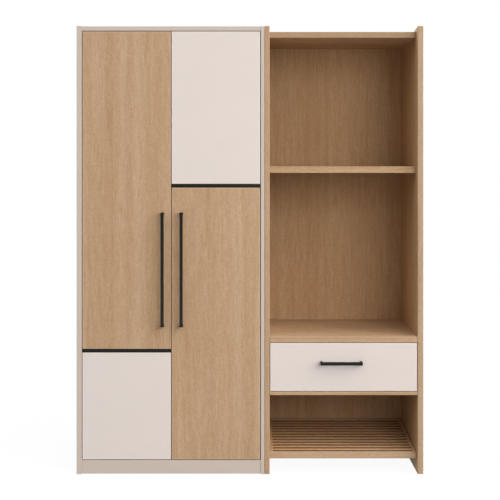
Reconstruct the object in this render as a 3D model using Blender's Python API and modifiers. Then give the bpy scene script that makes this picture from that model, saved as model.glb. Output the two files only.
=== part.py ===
"""Two-door wardrobe with an open shelf unit bolted to its right side.

The wardrobe has inset doors on concealed cup hinges, a hat shelf and a hanging rail. The shelf unit
has two open compartments, a drawer on telescopic runners and a sloping slatted shoe rack.
Lengths are in metres, +Z is up, the front faces -Y, and the origin is at the floor under the centre
of the whole piece, handles included.
"""
import math

import bmesh
import bpy
from mathutils import Matrix, Vector

# Overall sizes
OVERALL_HEIGHT = 1.900
CARCASS_DEPTH = 0.500
WARDROBE_WIDTH = 0.796
SHELF_UNIT_WIDTH = 0.6737

# Clearances and cuts
SEAT_GAP = 0.0003
UNIT_GAP = SEAT_GAP
CUT_OVERRUN = 0.002
MERGE_DISTANCE = 0.00001
FLAT_ANGLE = math.radians(0.5)
ROUND_SIDES = 24
SMALL_ROUND_SIDES = 12

# Edges of boards
BOARD_EDGE = 0.0008
SIDE_EDGE = 0.0030
SLAT_EDGE = 0.0015

# Backs
BACK_THICKNESS = 0.004
BACK_INSET = 0.010
BACK_GROOVE_DEPTH = 0.006

# Wardrobe carcass
OUTER_SIDE_THICKNESS = 0.022
INNER_SIDE_THICKNESS = 0.015
WARDROBE_TOP_THICKNESS = 0.019
WARDROBE_TOP_DROP = 0.002
WARDROBE_TOP_SETBACK = 0.001
PLINTH_HEIGHT = 0.060
PLINTH_THICKNESS = 0.018
PLINTH_SETBACK = 0.002
PLINTH_LIFT = 0.002
WARDROBE_FLOOR_THICKNESS = 0.018

# Wardrobe fittings
HAT_SHELF_LEVEL = 1.560
HAT_SHELF_THICKNESS = 0.018
HAT_SHELF_SETBACK = 0.110
RAIL_DROP = 0.060
RAIL_HALF_WIDTH = 0.0075
RAIL_HALF_HEIGHT = 0.0150
RAIL_WALL = 0.0012
SOCKET_WALL = 0.0025
SOCKET_LENGTH = 0.012
SOCKET_FLANGE = 0.0020
SOCKET_FLANGE_RIM = 0.0060

# Doors
DOOR_GAP = 0.003
DOOR_THICKNESS = 0.018
LEFT_STRIP_LEVEL = 0.515
RIGHT_STRIP_LEVEL = 1.214
STRIP_HEIGHT = 0.0165
STRIP_RECESS = 0.0010
STRIP_EDGE = 0.0003
TONGUE_THICKNESS = 0.004
TONGUE_LENGTH = 0.008
DOOR_TURN_INSET = 0.005

# Door and drawer handles
HANDLE_REACH = 0.032
HANDLE_WIDTH = 0.0132
HANDLE_DEPTH = 0.010
HANDLE_POST_WIDTH = 0.0142
HANDLE_POST_LENGTH = 0.0090
HANDLE_POST_PROUD = 0.0005
HANDLE_EDGE = 0.0008
DOOR_HANDLE_LENGTH = 0.4820
DOOR_HANDLE_BASE = 0.6276
LEFT_HANDLE_INSET = 0.0352
RIGHT_HANDLE_INSET = 0.0420
DRAWER_HANDLE_LENGTH = 0.1770
DRAWER_HANDLE_LEVEL = 0.4730
DRAWER_HANDLE_SHIFT = -0.0105

# Concealed hinges, as seen from above: out from the side panel, and back from the front
HINGE_END_INSET = 0.100
CUP_EDGE = 0.003
CUP_RADIUS = 0.0175
CUP_WALL = 0.0008
CUP_DEPTH = 0.0122
CUP_FLANGE_THICKNESS = 0.001
CUP_FLANGE_RIM = 0.0015
CUP_WING_LENGTH = 0.031
CUP_WING_START = 0.023
CUP_WING_END = 0.038
CUP_PIN_OUT = 0.0120
CUP_PIN_BACK = 0.0082
CUP_PIN_RADIUS = 0.0010
ARM_PIVOT_OUT = 0.030
ARM_PIVOT_BACK = 0.0225
ARM_NOSE_RADIUS = 0.0028
ARM_HALF_HEIGHT = 0.007
ARM_SHEET = 0.0015
ARM_CROWN = 0.017
ARM_BEND_START = 0.036
ARM_BEND_END = 0.047
ARM_REAR = 0.092
PIVOT_PIN_RADIUS = 0.0012
PIVOT_CLEARANCE = 0.0003
LINK_EYE_RADIUS = 0.0026
LINK_HALF_THICKNESS = 0.0011
LINK_HALF_HEIGHT = 0.0048
LINK_TIP_OUT = 0.0112
LINK_TIP_BACK = 0.0120
LINK_NECK_OUT = 0.0150
LINK_KNEE_OUT = 0.0215
LINK_NECK_BACK = 0.0098
PLATE_THICKNESS = 0.002
PLATE_START = 0.052
PLATE_LENGTH = 0.042
PLATE_HALF_HEIGHT = 0.009
PLATE_WING_HALF_HEIGHT = 0.024
PLATE_WING_DEPTH = 0.012
PLATE_WING_STEP = 0.0004
PLATE_RIDGE_HEIGHT = 0.008

# Shelf unit
SHELF_SIDE_THICKNESS = 0.022
SHELF_END_THICKNESS = 0.025
CHEEK_RUN = 0.190
SHELF_BOARD_THICKNESS = 0.025
SHELF_BOARD_SETBACK = 0.040
SHELF_TOP_DROP = 0.021
UPPER_SHELF_LEVEL = 1.304
UPPER_SHELF_THICKNESS = 0.028
DRAWER_COVER_LEVEL = 0.5835
DRAWER_FLOOR_LEVEL = 0.350
DRAWER_FLOOR_THICKNESS = 0.015

# Shoe rack
RACK_SETBACK = 0.028
RACK_RAIL_LEVEL = 0.059
RACK_RAIL_HEIGHT = 0.028
RACK_RAIL_THICKNESS = 0.012
RACK_RISE = 0.033
BEARER_WIDTH = 0.013
BEARER_GAP = 0.0025
SLAT_COUNT = 12
SLAT_HOUSING = 0.003
RACK_FLUSH = 0.0005
SLAT_DEPTH = 0.022
SLAT_THICKNESS = 0.012

# Drawer
DRAWER_GAP = 0.0026
DRAWER_FRONT_THICKNESS = 0.018
DRAWER_WALL = 0.012
DRAWER_BOX_HEIGHT = 0.130
DRAWER_BOX_LIFT = 0.028
DRAWER_BASE_THICKNESS = 0.004
DRAWER_BASE_LIFT = 0.010
DRAWER_GROOVE_DEPTH = 0.006

# Telescopic runners
RUNNER_LENGTH = 0.440
RUNNER_THICKNESS = 0.0127
RUNNER_HALF_HEIGHT = 0.0175
RUNNER_SHEET = 0.0012
RUNNER_OUTER_FLANGE = 0.0095
RUNNER_MIDDLE_START = 0.0030
RUNNER_MIDDLE_END = 0.0105
RUNNER_INNER_START = 0.0055
RUNNER_SETBACK = 0.004
RUNNER_MIDDLE_SHORTER = 0.006

# Places that follow from the sizes
LEFT_X = -(WARDROBE_WIDTH + UNIT_GAP + SHELF_UNIT_WIDTH) / 2
RIGHT_X = -LEFT_X
FRONT_Y = -(CARCASS_DEPTH - HANDLE_REACH) / 2
BACK_Y = FRONT_Y + CARCASS_DEPTH
WARDROBE_IN_LEFT = LEFT_X + OUTER_SIDE_THICKNESS
WARDROBE_RIGHT = LEFT_X + WARDROBE_WIDTH
WARDROBE_IN_RIGHT = WARDROBE_RIGHT - INNER_SIDE_THICKNESS
SHELF_LEFT = WARDROBE_RIGHT + UNIT_GAP
SHELF_IN_LEFT = SHELF_LEFT + SHELF_SIDE_THICKNESS
SHELF_IN_RIGHT = RIGHT_X - SHELF_END_THICKNESS
BACK_FACE_Y = BACK_Y - BACK_INSET - BACK_THICKNESS
WARDROBE_TOP = OVERALL_HEIGHT - WARDROBE_TOP_DROP
WARDROBE_CEILING = WARDROBE_TOP - WARDROBE_TOP_THICKNESS
SHELF_TOP = OVERALL_HEIGHT - SHELF_TOP_DROP
DOOR_BASE = PLINTH_HEIGHT + DOOR_GAP
DOOR_TOP = WARDROBE_CEILING - DOOR_GAP
DOOR_BACK_Y = FRONT_Y + DOOR_THICKNESS
DOOR_WIDTH = (WARDROBE_IN_RIGHT - WARDROBE_IN_LEFT - 3 * DOOR_GAP) / 2
DOOR_PIVOT_OUT = DOOR_GAP + DOOR_TURN_INSET
DOOR_PIVOT_BACK = DOOR_TURN_INSET
CUP_CENTRE_OUT = DOOR_GAP + CUP_EDGE + CUP_RADIUS
RACK_FRONT_Y = FRONT_Y + RACK_SETBACK
RACK_TOP = RACK_RAIL_LEVEL + RACK_RAIL_HEIGHT
DRAWER_CEILING = DRAWER_COVER_LEVEL - SHELF_BOARD_THICKNESS
DRAWER_BOX_BASE = DRAWER_FLOOR_LEVEL + DRAWER_BOX_LIFT
DRAWER_BOX_BACK_Y = FRONT_Y + DRAWER_FRONT_THICKNESS + RUNNER_LENGTH
RUNNER_Y = FRONT_Y + DRAWER_FRONT_THICKNESS + RUNNER_SETBACK
RUNNER_Z = DRAWER_BOX_BASE + DRAWER_BOX_HEIGHT / 2

# Finishes: red, green and blue as seen, roughness and metallic
FINISHES = {
    "oak": ((0.74, 0.61, 0.49), 0.55, 0.0),
    "taupe": ((0.78, 0.72, 0.67), 0.50, 0.0),
    "cream": ((0.88, 0.83, 0.80), 0.45, 0.0),
    "white_board": ((0.90, 0.89, 0.87), 0.60, 0.0),
    "black_metal": ((0.16, 0.15, 0.14), 0.40, 0.8),
    "steel": ((0.75, 0.75, 0.76), 0.30, 1.0),
    "plastic": ((0.80, 0.79, 0.77), 0.50, 0.0),
}

# Directions in which an outline is extruded: columns are the outline's across, up and depth
TURNS = {
    "x": Matrix(((0, 0, 1), (1, 0, 0), (0, 1, 0))).to_4x4(),
    "y": Matrix(((1, 0, 0), (0, 0, -1), (0, 1, 0))).to_4x4(),
    "z": Matrix.Identity(4),
}


def collection(name):
    """A collection of that name, linked to the scene."""
    group = bpy.data.collections.get(name)
    if group is None:
        group = bpy.data.collections.new(name)
        bpy.context.scene.collection.children.link(group)
    return group


def clear_scene():
    """Removes every object of the scene."""
    for thing in list(bpy.data.objects):
        bpy.data.objects.remove(thing, do_unlink=True)


def linear(value):
    """A colour channel as the shader wants it, from the value as seen."""
    return value / 12.92 if value <= 0.04045 else ((value + 0.055) / 1.055) ** 2.4


def paint(thing, finish):
    """Gives the object a material of its own."""
    colour, roughness, metallic = FINISHES[finish]
    material = bpy.data.materials.new(f"{thing.name}_{finish}")
    material.use_nodes = True
    shader = material.node_tree.nodes["Principled BSDF"]
    shader.inputs["Base Color"].default_value = (*(linear(value) for value in colour), 1)
    shader.inputs["Roughness"].default_value = roughness
    shader.inputs["Metallic"].default_value = metallic
    thing.data.materials.append(material)


def new_piece(name, mesh, finish):
    """An object for a mesh, in the wardrobe's collection."""
    thing = bpy.data.objects.new(name, mesh)
    collection("wardrobe").objects.link(thing)
    if not mesh.materials:
        paint(thing, finish)
    return thing


def finished_mesh(name, shape):
    """Turns a bmesh into a mesh and frees it."""
    mesh = bpy.data.meshes.new(name)
    shape.to_mesh(mesh)
    shape.free()
    return mesh


def add_box(shape, low, high):
    """Adds a box between two corners to a bmesh."""
    low, high = Vector(low), Vector(high)
    made = bmesh.ops.create_cube(shape, size=1.0)
    bmesh.ops.scale(shape, vec=high - low, verts=made["verts"])
    bmesh.ops.translate(shape, vec=(low + high) / 2, verts=made["verts"])


def add_rod(shape, start, axis, length, radius, sides=SMALL_ROUND_SIDES):
    """Adds a cylinder that starts at a point and runs along x, y or z."""
    made = bmesh.ops.create_cone(
        shape, cap_ends=True, segments=sides, radius1=radius, radius2=radius, depth=length
    )
    direction = Vector((axis == "x", axis == "y", axis == "z"))
    turn = Vector((0, 0, 1)).rotation_difference(direction).to_matrix()
    bmesh.ops.rotate(shape, matrix=turn, verts=made["verts"])
    bmesh.ops.translate(shape, vec=Vector(start) + direction * length / 2, verts=made["verts"])


def round_edges(thing, width, steps=1):
    """Rounds the sharp edges of an object."""
    bevel = thing.modifiers.new("edges", "BEVEL")
    bevel.width = width
    bevel.segments = steps
    bevel.limit_method = "ANGLE"
    bevel.harden_normals = False


def board(name, low, high, finish, edge=BOARD_EDGE, steps=1):
    """A board between two corners, with its edges eased."""
    low, high = Vector(low), Vector(high)
    centre = (low + high) / 2
    shape = bmesh.new()
    add_box(shape, low - centre, high - centre)
    thing = new_piece(name, finished_mesh(name, shape), finish)
    thing.location = centre
    round_edges(thing, edge, steps)
    return thing


def cut(thing, shape, operation="DIFFERENCE"):
    """Cuts a bmesh out of an object, or joins it on."""
    name = f"{thing.name}_cutter_{len(thing.modifiers)}"
    cutter = bpy.data.objects.new(name, finished_mesh(name, shape))
    collection("cutters").objects.link(cutter)
    cutter.hide_render = True
    cutter.display_type = "WIRE"
    boolean = thing.modifiers.new("cut", "BOOLEAN")
    boolean.operation = operation
    boolean.solver = "EXACT"
    boolean.object = cutter


def arc(centre, radius, start, end, steps):
    """Points of an arc between two angles in degrees."""
    points = []
    for step in range(steps + 1):
        angle = math.radians(start + (end - start) * step / steps)
        points.append((centre[0] + radius * math.cos(angle), centre[1] + radius * math.sin(angle)))
    return points


def extruded(name, outlines, low, high, axis, finish):
    """A solid whose outlines lie across an axis, from low to high along it."""
    curve = bpy.data.curves.new(name, "CURVE")
    curve.dimensions = "2D"
    curve.fill_mode = "BOTH"
    curve.extrude = (high - low) / 2
    for outline in outlines:
        spline = curve.splines.new("POLY")
        spline.points.add(len(outline) - 1)
        for point, (across, up) in zip(spline.points, outline):
            point.co = (across, up, 0, 1)
        spline.use_cyclic_u = True
    drawing = bpy.data.objects.new(name, curve)
    collection("wardrobe").objects.link(drawing)
    shape = bmesh.new()
    shape.from_mesh(evaluated_mesh(drawing))
    bpy.data.objects.remove(drawing, do_unlink=True)
    bmesh.ops.remove_doubles(shape, verts=shape.verts, dist=MERGE_DISTANCE)
    bmesh.ops.dissolve_limit(
        shape, angle_limit=FLAT_ANGLE, verts=shape.verts, edges=shape.edges
    )
    bmesh.ops.recalc_face_normals(shape, faces=shape.faces)
    middle = (low + high) / 2
    along = {"x": (middle, 0, 0), "y": (0, middle, 0), "z": (0, 0, middle)}[axis]
    bmesh.ops.transform(shape, matrix=Matrix.Translation(along) @ TURNS[axis], verts=shape.verts)
    return new_piece(name, finished_mesh(name, shape), finish)


def evaluated_mesh(thing):
    """A copy of an object's mesh with its modifiers applied."""
    bpy.context.view_layer.update()
    depsgraph = bpy.context.evaluated_depsgraph_get()
    return bpy.data.meshes.new_from_object(thing.evaluated_get(depsgraph))


def copies(pattern, names, places, mirrored, finish):
    """Named copies of a pattern object at several places, mirrored across x or not."""
    shape = bmesh.new()
    shape.from_mesh(evaluated_mesh(pattern))
    bmesh.ops.transform(shape, matrix=pattern.matrix_world, verts=shape.verts)
    if mirrored:
        bmesh.ops.transform(shape, matrix=Matrix.Diagonal((-1, 1, 1, 1)), verts=shape.verts)
        bmesh.ops.reverse_faces(shape, faces=shape.faces)
    mesh = finished_mesh(names[0], shape)
    discard(pattern)
    made = []
    for name, place in zip(names, places):
        thing = new_piece(name, mesh, finish)
        thing.location = place
        made.append(thing)
    return made


def discard(thing):
    """Removes an object and the cutters that only it uses."""
    cutters = [modifier.object for modifier in thing.modifiers if modifier.type == "BOOLEAN"]
    for unwanted in (*cutters, thing):
        bpy.data.objects.remove(unwanted, do_unlink=True)


def shape_of(thing):
    """The finished form of a helper object as a bmesh in world space; the helper is removed."""
    bpy.context.view_layer.update()
    shape = bmesh.new()
    shape.from_mesh(evaluated_mesh(thing))
    bmesh.ops.transform(shape, matrix=thing.matrix_world, verts=shape.verts)
    discard(thing)
    return shape


def joint_empty(name, place):
    """An empty on a joint's axis, which carries the pieces that move with it."""
    pivot = bpy.data.objects.new(name, None)
    collection("wardrobe").objects.link(pivot)
    pivot.location = place
    return pivot


def carry(pivot, pieces):
    """Parents pieces to a joint's empty and leaves them where they are."""
    for piece in pieces:
        piece.parent = pivot
        piece.location = piece.location - pivot.location


def groove_for_back(side, inner_x, outward, low, high):
    """Cuts the groove that holds the back's edge into a side panel."""
    near = inner_x - outward * CUT_OVERRUN
    far = inner_x + outward * (BACK_GROOVE_DEPTH + SEAT_GAP)
    shape = bmesh.new()
    add_box(
        shape,
        (min(near, far), BACK_FACE_Y - SEAT_GAP, low),
        (max(near, far), BACK_FACE_Y + BACK_THICKNESS + SEAT_GAP, high),
    )
    cut(side, shape)


def build_wardrobe_sides():
    """The two upright panels of the wardrobe."""
    left = board(
        "wardrobe_left_side",
        (LEFT_X, FRONT_Y, 0),
        (WARDROBE_IN_LEFT, BACK_Y, OVERALL_HEIGHT),
        "taupe", BOARD_EDGE, 2,
    )
    right = board(
        "wardrobe_right_side",
        (WARDROBE_IN_RIGHT, FRONT_Y, 0),
        (WARDROBE_RIGHT, BACK_Y, WARDROBE_TOP),
        "taupe", BOARD_EDGE, 2,
    )
    groove_low = PLINTH_HEIGHT - WARDROBE_FLOOR_THICKNESS - SEAT_GAP
    groove_high = WARDROBE_CEILING + BACK_GROOVE_DEPTH + SEAT_GAP
    groove_for_back(left, WARDROBE_IN_LEFT, -1, groove_low, groove_high)
    groove_for_back(right, WARDROBE_IN_RIGHT, 1, groove_low, groove_high)


def build_wardrobe_boards():
    """Top, floor, plinth, back and hat shelf between the wardrobe's sides."""
    left, right = WARDROBE_IN_LEFT + SEAT_GAP, WARDROBE_IN_RIGHT - SEAT_GAP
    top = board(
        "wardrobe_top",
        (left, FRONT_Y + WARDROBE_TOP_SETBACK, WARDROBE_CEILING),
        (right, BACK_Y, WARDROBE_TOP),
        "taupe",
    )
    groove = bmesh.new()
    add_box(
        groove,
        (left - CUT_OVERRUN, BACK_FACE_Y - SEAT_GAP, WARDROBE_CEILING - CUT_OVERRUN),
        (right + CUT_OVERRUN, BACK_FACE_Y + BACK_THICKNESS + SEAT_GAP,
         WARDROBE_CEILING + BACK_GROOVE_DEPTH + SEAT_GAP),
    )
    cut(top, groove)
    floor_front = FRONT_Y + PLINTH_SETBACK + PLINTH_THICKNESS + SEAT_GAP
    floor_low = PLINTH_HEIGHT - WARDROBE_FLOOR_THICKNESS
    board(
        "wardrobe_floor",
        (left, floor_front, floor_low),
        (right, BACK_FACE_Y - SEAT_GAP, PLINTH_HEIGHT),
        "taupe",
    )
    board(
        "wardrobe_plinth",
        (left, FRONT_Y + PLINTH_SETBACK, PLINTH_LIFT),
        (right, FRONT_Y + PLINTH_SETBACK + PLINTH_THICKNESS, PLINTH_HEIGHT),
        "taupe",
    )
    board(
        "wardrobe_back",
        (WARDROBE_IN_LEFT - BACK_GROOVE_DEPTH, BACK_FACE_Y, floor_low),
        (WARDROBE_IN_RIGHT + BACK_GROOVE_DEPTH, BACK_FACE_Y + BACK_THICKNESS,
         WARDROBE_CEILING + BACK_GROOVE_DEPTH),
        "white_board", BACK_THICKNESS / 10,
    )
    board(
        "hat_shelf",
        (left, FRONT_Y + HAT_SHELF_SETBACK, HAT_SHELF_LEVEL - HAT_SHELF_THICKNESS),
        (right, BACK_FACE_Y - SEAT_GAP, HAT_SHELF_LEVEL),
        "taupe",
    )


def oval(centre, half_width, half_height, steps):
    """Outline of an upright tube: straight flanks with round ends."""
    straight = half_height - half_width
    top = arc((centre[0], centre[1] + straight), half_width, 0, 180, steps)
    base = arc((centre[0], centre[1] - straight), half_width, 180, 360, steps)
    return top + base


def build_hanging_rail():
    """An oval steel tube in two sockets, across the wardrobe under the hat shelf."""
    middle = ((FRONT_Y + BACK_Y) / 2, HAT_SHELF_LEVEL - HAT_SHELF_THICKNESS - RAIL_DROP)
    steps = SMALL_ROUND_SIDES // 2
    outside = oval(middle, RAIL_HALF_WIDTH, RAIL_HALF_HEIGHT, steps)
    inside = oval(middle, RAIL_HALF_WIDTH - RAIL_WALL, RAIL_HALF_HEIGHT - RAIL_WALL, steps)
    clear = SEAT_GAP + SOCKET_FLANGE + SEAT_GAP
    extruded(
        "hanging_rail", [outside, inside],
        WARDROBE_IN_LEFT + clear, WARDROBE_IN_RIGHT - clear, "x", "steel",
    )
    hole = oval(middle, RAIL_HALF_WIDTH + SEAT_GAP, RAIL_HALF_HEIGHT + SEAT_GAP, steps)
    ring = oval(middle, RAIL_HALF_WIDTH + SOCKET_WALL, RAIL_HALF_HEIGHT + SOCKET_WALL, steps)
    flange = oval(
        middle, RAIL_HALF_WIDTH + SOCKET_FLANGE_RIM, RAIL_HALF_HEIGHT + SOCKET_FLANGE_RIM, steps
    )
    places = ((WARDROBE_IN_LEFT + SEAT_GAP, 0, 0), (WARDROBE_IN_RIGHT - SEAT_GAP, 0, 0))
    for side, place, mirrored in zip(("left", "right"), places, (False, True)):
        socket = extruded("socket", [ring], 0, SOCKET_LENGTH, "x", "steel")
        cut(socket, shape_of(extruded("foot", [flange], 0, SOCKET_FLANGE, "x", "steel")), "UNION")
        depth = SOCKET_LENGTH + CUT_OVERRUN
        cut(socket, shape_of(extruded("bore", [hole], SOCKET_FLANGE, depth, "x", "steel")))
        copies(socket, [f"rail_socket_{side}"], [place], mirrored, "steel")


def handle(name, start, along, length, post_y):
    """A square bar between two posts, running from a point along x or z."""
    across = Vector((along == "z", 0, along == "x"))
    run = Vector((along == "x", 0, along == "z"))
    depth = Vector((0, 1, 0))
    start = Vector(start)
    bar_front = post_y - HANDLE_REACH + HANDLE_POST_PROUD
    post_front = post_y - HANDLE_REACH
    half_bar, half_post = HANDLE_WIDTH / 2, HANDLE_POST_WIDTH / 2
    inset = HANDLE_POST_LENGTH / 2
    base = start - depth * start.y
    thing = board(
        name,
        base + run * inset - across * half_bar + depth * bar_front,
        base + run * (length - inset) + across * half_bar + depth * (bar_front + HANDLE_DEPTH),
        "black_metal", HANDLE_EDGE,
    )
    for near in (0, length - HANDLE_POST_LENGTH):
        post = board(
            f"{name}_post",
            base + run * near - across * half_post + depth * post_front,
            base + run * (near + HANDLE_POST_LENGTH) + across * half_post
            + depth * (post_y - SEAT_GAP),
            "black_metal", HANDLE_EDGE,
        )
        cut(thing, shape_of(post), "UNION")
    return thing


def door_strip(name, low_x, high_x, level):
    """The metal strip between a door's panels, with a tongue that enters each of them."""
    middle = FRONT_Y + DOOR_THICKNESS / 2
    half = TONGUE_THICKNESS / 2
    strip = board(
        name,
        (low_x, FRONT_Y + STRIP_RECESS, level + SEAT_GAP),
        (high_x, DOOR_BACK_Y - STRIP_RECESS, level + STRIP_HEIGHT - SEAT_GAP),
        "black_metal", STRIP_EDGE,
    )
    tongue = bmesh.new()
    add_box(
        tongue,
        (low_x + SEAT_GAP, middle - half, level - TONGUE_LENGTH),
        (high_x - SEAT_GAP, middle + half, level + STRIP_HEIGHT + TONGUE_LENGTH),
    )
    cut(strip, tongue, "UNION")
    return strip


def groove_for_tongue(panel, low_x, high_x, near_z, far_z):
    """Cuts the groove that takes the strip's tongue into a door panel's edge."""
    middle = FRONT_Y + DOOR_THICKNESS / 2
    half = TONGUE_THICKNESS / 2 + SEAT_GAP
    shape = bmesh.new()
    add_box(
        shape,
        (low_x - CUT_OVERRUN, middle - half, near_z),
        (high_x + CUT_OVERRUN, middle + half, far_z),
    )
    cut(panel, shape)


def hinge_levels():
    """Heights of a door's three hinges."""
    low, high = DOOR_BASE + HINGE_END_INSET, DOOR_TOP - HINGE_END_INSET
    return low, (low + high) / 2, high


def bore_for_cups(panel, centre_x, levels):
    """Drills a door panel's back for its hinge cups."""
    shape = bmesh.new()
    for level in levels:
        start = (centre_x, DOOR_BACK_Y - CUP_DEPTH - SEAT_GAP, level)
        length = CUP_DEPTH + SEAT_GAP + CUT_OVERRUN
        add_rod(shape, start, "y", length, CUP_RADIUS + SEAT_GAP, ROUND_SIDES)
    cut(panel, shape)


def cup_pattern():
    """A hinge cup with its flange and pin; x runs out from the side panel and y to the back."""
    back = DOOR_THICKNESS + SEAT_GAP
    floor = DOOR_THICKNESS - CUP_DEPTH
    rim_top = back + CUP_FLANGE_THICKNESS
    centre = (CUP_CENTRE_OUT, floor, 0)
    shape = bmesh.new()
    add_rod(shape, centre, "y", rim_top - floor, CUP_RADIUS, ROUND_SIDES)
    thing = new_piece("cup_pattern", finished_mesh("cup_pattern", shape), "steel")
    ring = bmesh.new()
    add_rod(
        ring, (CUP_CENTRE_OUT, back, 0), "y", CUP_FLANGE_THICKNESS,
        CUP_RADIUS + CUP_FLANGE_RIM, ROUND_SIDES,
    )
    cut(thing, ring, "UNION")
    wing = bmesh.new()
    add_box(wing, (CUP_WING_START, back, -CUP_WING_LENGTH), (CUP_WING_END, rim_top, CUP_WING_LENGTH))
    cut(thing, wing, "UNION")
    cavity = bmesh.new()
    add_rod(
        cavity, (CUP_CENTRE_OUT, floor + CUP_WALL, 0), "y", CUP_DEPTH + CUT_OVERRUN,
        CUP_RADIUS - CUP_WALL, ROUND_SIDES,
    )
    cut(thing, cavity)
    across = CUP_CENTRE_OUT - CUP_PIN_OUT
    reach = math.sqrt((CUP_RADIUS - CUP_WALL / 2) ** 2 - across ** 2)
    pin = bmesh.new()
    add_rod(pin, (CUP_PIN_OUT, CUP_PIN_BACK, -reach), "z", 2 * reach, CUP_PIN_RADIUS)
    cut(thing, pin, "UNION")
    return thing


def add_plate(arm):
    """Joins the mounting plate to a hinge arm: a strip, two wings and a ridge in the channel."""
    top = SEAT_GAP + PLATE_THICKNESS
    rear = PLATE_START + PLATE_LENGTH
    middle = (PLATE_START + rear) / 2
    strip = bmesh.new()
    add_box(strip, (SEAT_GAP, PLATE_START, -PLATE_HALF_HEIGHT), (top, rear, PLATE_HALF_HEIGHT))
    cut(arm, strip, "UNION")
    wings = bmesh.new()
    add_box(
        wings,
        (SEAT_GAP, middle - PLATE_WING_DEPTH / 2, -PLATE_WING_HALF_HEIGHT),
        (top - PLATE_WING_STEP, middle + PLATE_WING_DEPTH / 2, PLATE_WING_HALF_HEIGHT),
    )
    cut(arm, wings, "UNION")
    ridge = bmesh.new()
    inset = PLATE_THICKNESS / 2
    ridge_half = ARM_HALF_HEIGHT - ARM_SHEET - SEAT_GAP
    add_box(
        ridge,
        (SEAT_GAP + inset, PLATE_START + inset, -ridge_half),
        (top + PLATE_RIDGE_HEIGHT, rear - inset, ridge_half),
    )
    cut(arm, ridge, "UNION")


def arm_pattern():
    """A hinge arm: a cranked channel on its plate, with the pin that its link turns on."""
    pivot = (ARM_PIVOT_OUT, ARM_PIVOT_BACK)
    foot = SEAT_GAP + PLATE_THICKNESS / 2
    outline = arc(pivot, ARM_NOSE_RADIUS, 170, 370, 8) + [
        (ARM_PIVOT_OUT + ARM_NOSE_RADIUS, ARM_PIVOT_BACK + 3 * ARM_NOSE_RADIUS),
        (ARM_CROWN, ARM_BEND_END),
        (ARM_CROWN, ARM_REAR),
        (foot, ARM_REAR),
        (foot, ARM_BEND_END + ARM_SHEET),
        (ARM_CROWN / 2, ARM_BEND_START + ARM_SHEET),
        (ARM_PIVOT_OUT - ARM_NOSE_RADIUS, ARM_PIVOT_BACK + ARM_NOSE_RADIUS),
    ]
    thing = extruded("arm_pattern", [outline], -ARM_HALF_HEIGHT, ARM_HALF_HEIGHT, "z", "steel")
    inside = ARM_HALF_HEIGHT - ARM_SHEET
    channel = bmesh.new()
    add_box(
        channel,
        (foot - CUT_OVERRUN, ARM_BEND_END + 2 * ARM_SHEET, -inside),
        (ARM_CROWN - ARM_SHEET, ARM_REAR + CUT_OVERRUN, inside),
    )
    cut(thing, channel)
    fork = bmesh.new()
    add_box(
        fork,
        (ARM_CROWN, ARM_PIVOT_BACK - 2 * ARM_NOSE_RADIUS, -inside),
        (ARM_PIVOT_OUT + 2 * ARM_NOSE_RADIUS, ARM_PIVOT_BACK + 2 * ARM_NOSE_RADIUS, inside),
    )
    cut(thing, fork)
    pin = bmesh.new()
    half = (inside + ARM_HALF_HEIGHT) / 2
    add_rod(pin, (*pivot, -half), "z", 2 * half, PIVOT_PIN_RADIUS)
    cut(thing, pin, "UNION")
    add_plate(thing)
    return thing


def link_pattern():
    """A hinge link: a gooseneck plate from the arm's pin to the inside of the cup."""
    pivot = Vector((ARM_PIVOT_OUT, ARM_PIVOT_BACK))
    knee = Vector((LINK_KNEE_OUT, LINK_NECK_BACK))
    neck = Vector((LINK_NECK_OUT, LINK_NECK_BACK))
    tip = Vector((LINK_TIP_OUT, LINK_TIP_BACK))
    half = LINK_HALF_THICKNESS
    first = (knee - pivot).normalized()
    last = (tip - neck).normalized()
    aim = math.degrees(math.atan2(first.y, first.x))
    spread = math.degrees(math.asin(half / LINK_EYE_RADIUS))
    eye = arc(pivot, LINK_EYE_RADIUS, aim + spread, aim + 360 - spread, SMALL_ROUND_SIDES)
    level = Vector((-1, 0))
    turn_in = (Vector((-first.y, first.x)) + Vector((-level.y, level.x))).normalized()
    turn_out = (Vector((-last.y, last.x)) + Vector((-level.y, level.x))).normalized()
    heading = math.degrees(math.atan2(last.y, last.x))
    end = arc(tip, half, heading - 90, heading + 90, 4)
    outline = eye + [knee - turn_in * half, neck - turn_out * half] + end
    outline += [neck + turn_out * half, knee + turn_in * half]
    hole = arc(pivot, PIVOT_PIN_RADIUS + PIVOT_CLEARANCE, 0, 330, SMALL_ROUND_SIDES - 1)
    outline = [tuple(point) for point in outline]
    return extruded(
        "link_pattern", [outline, hole], -LINK_HALF_HEIGHT, LINK_HALF_HEIGHT, "z", "steel"
    )


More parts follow.
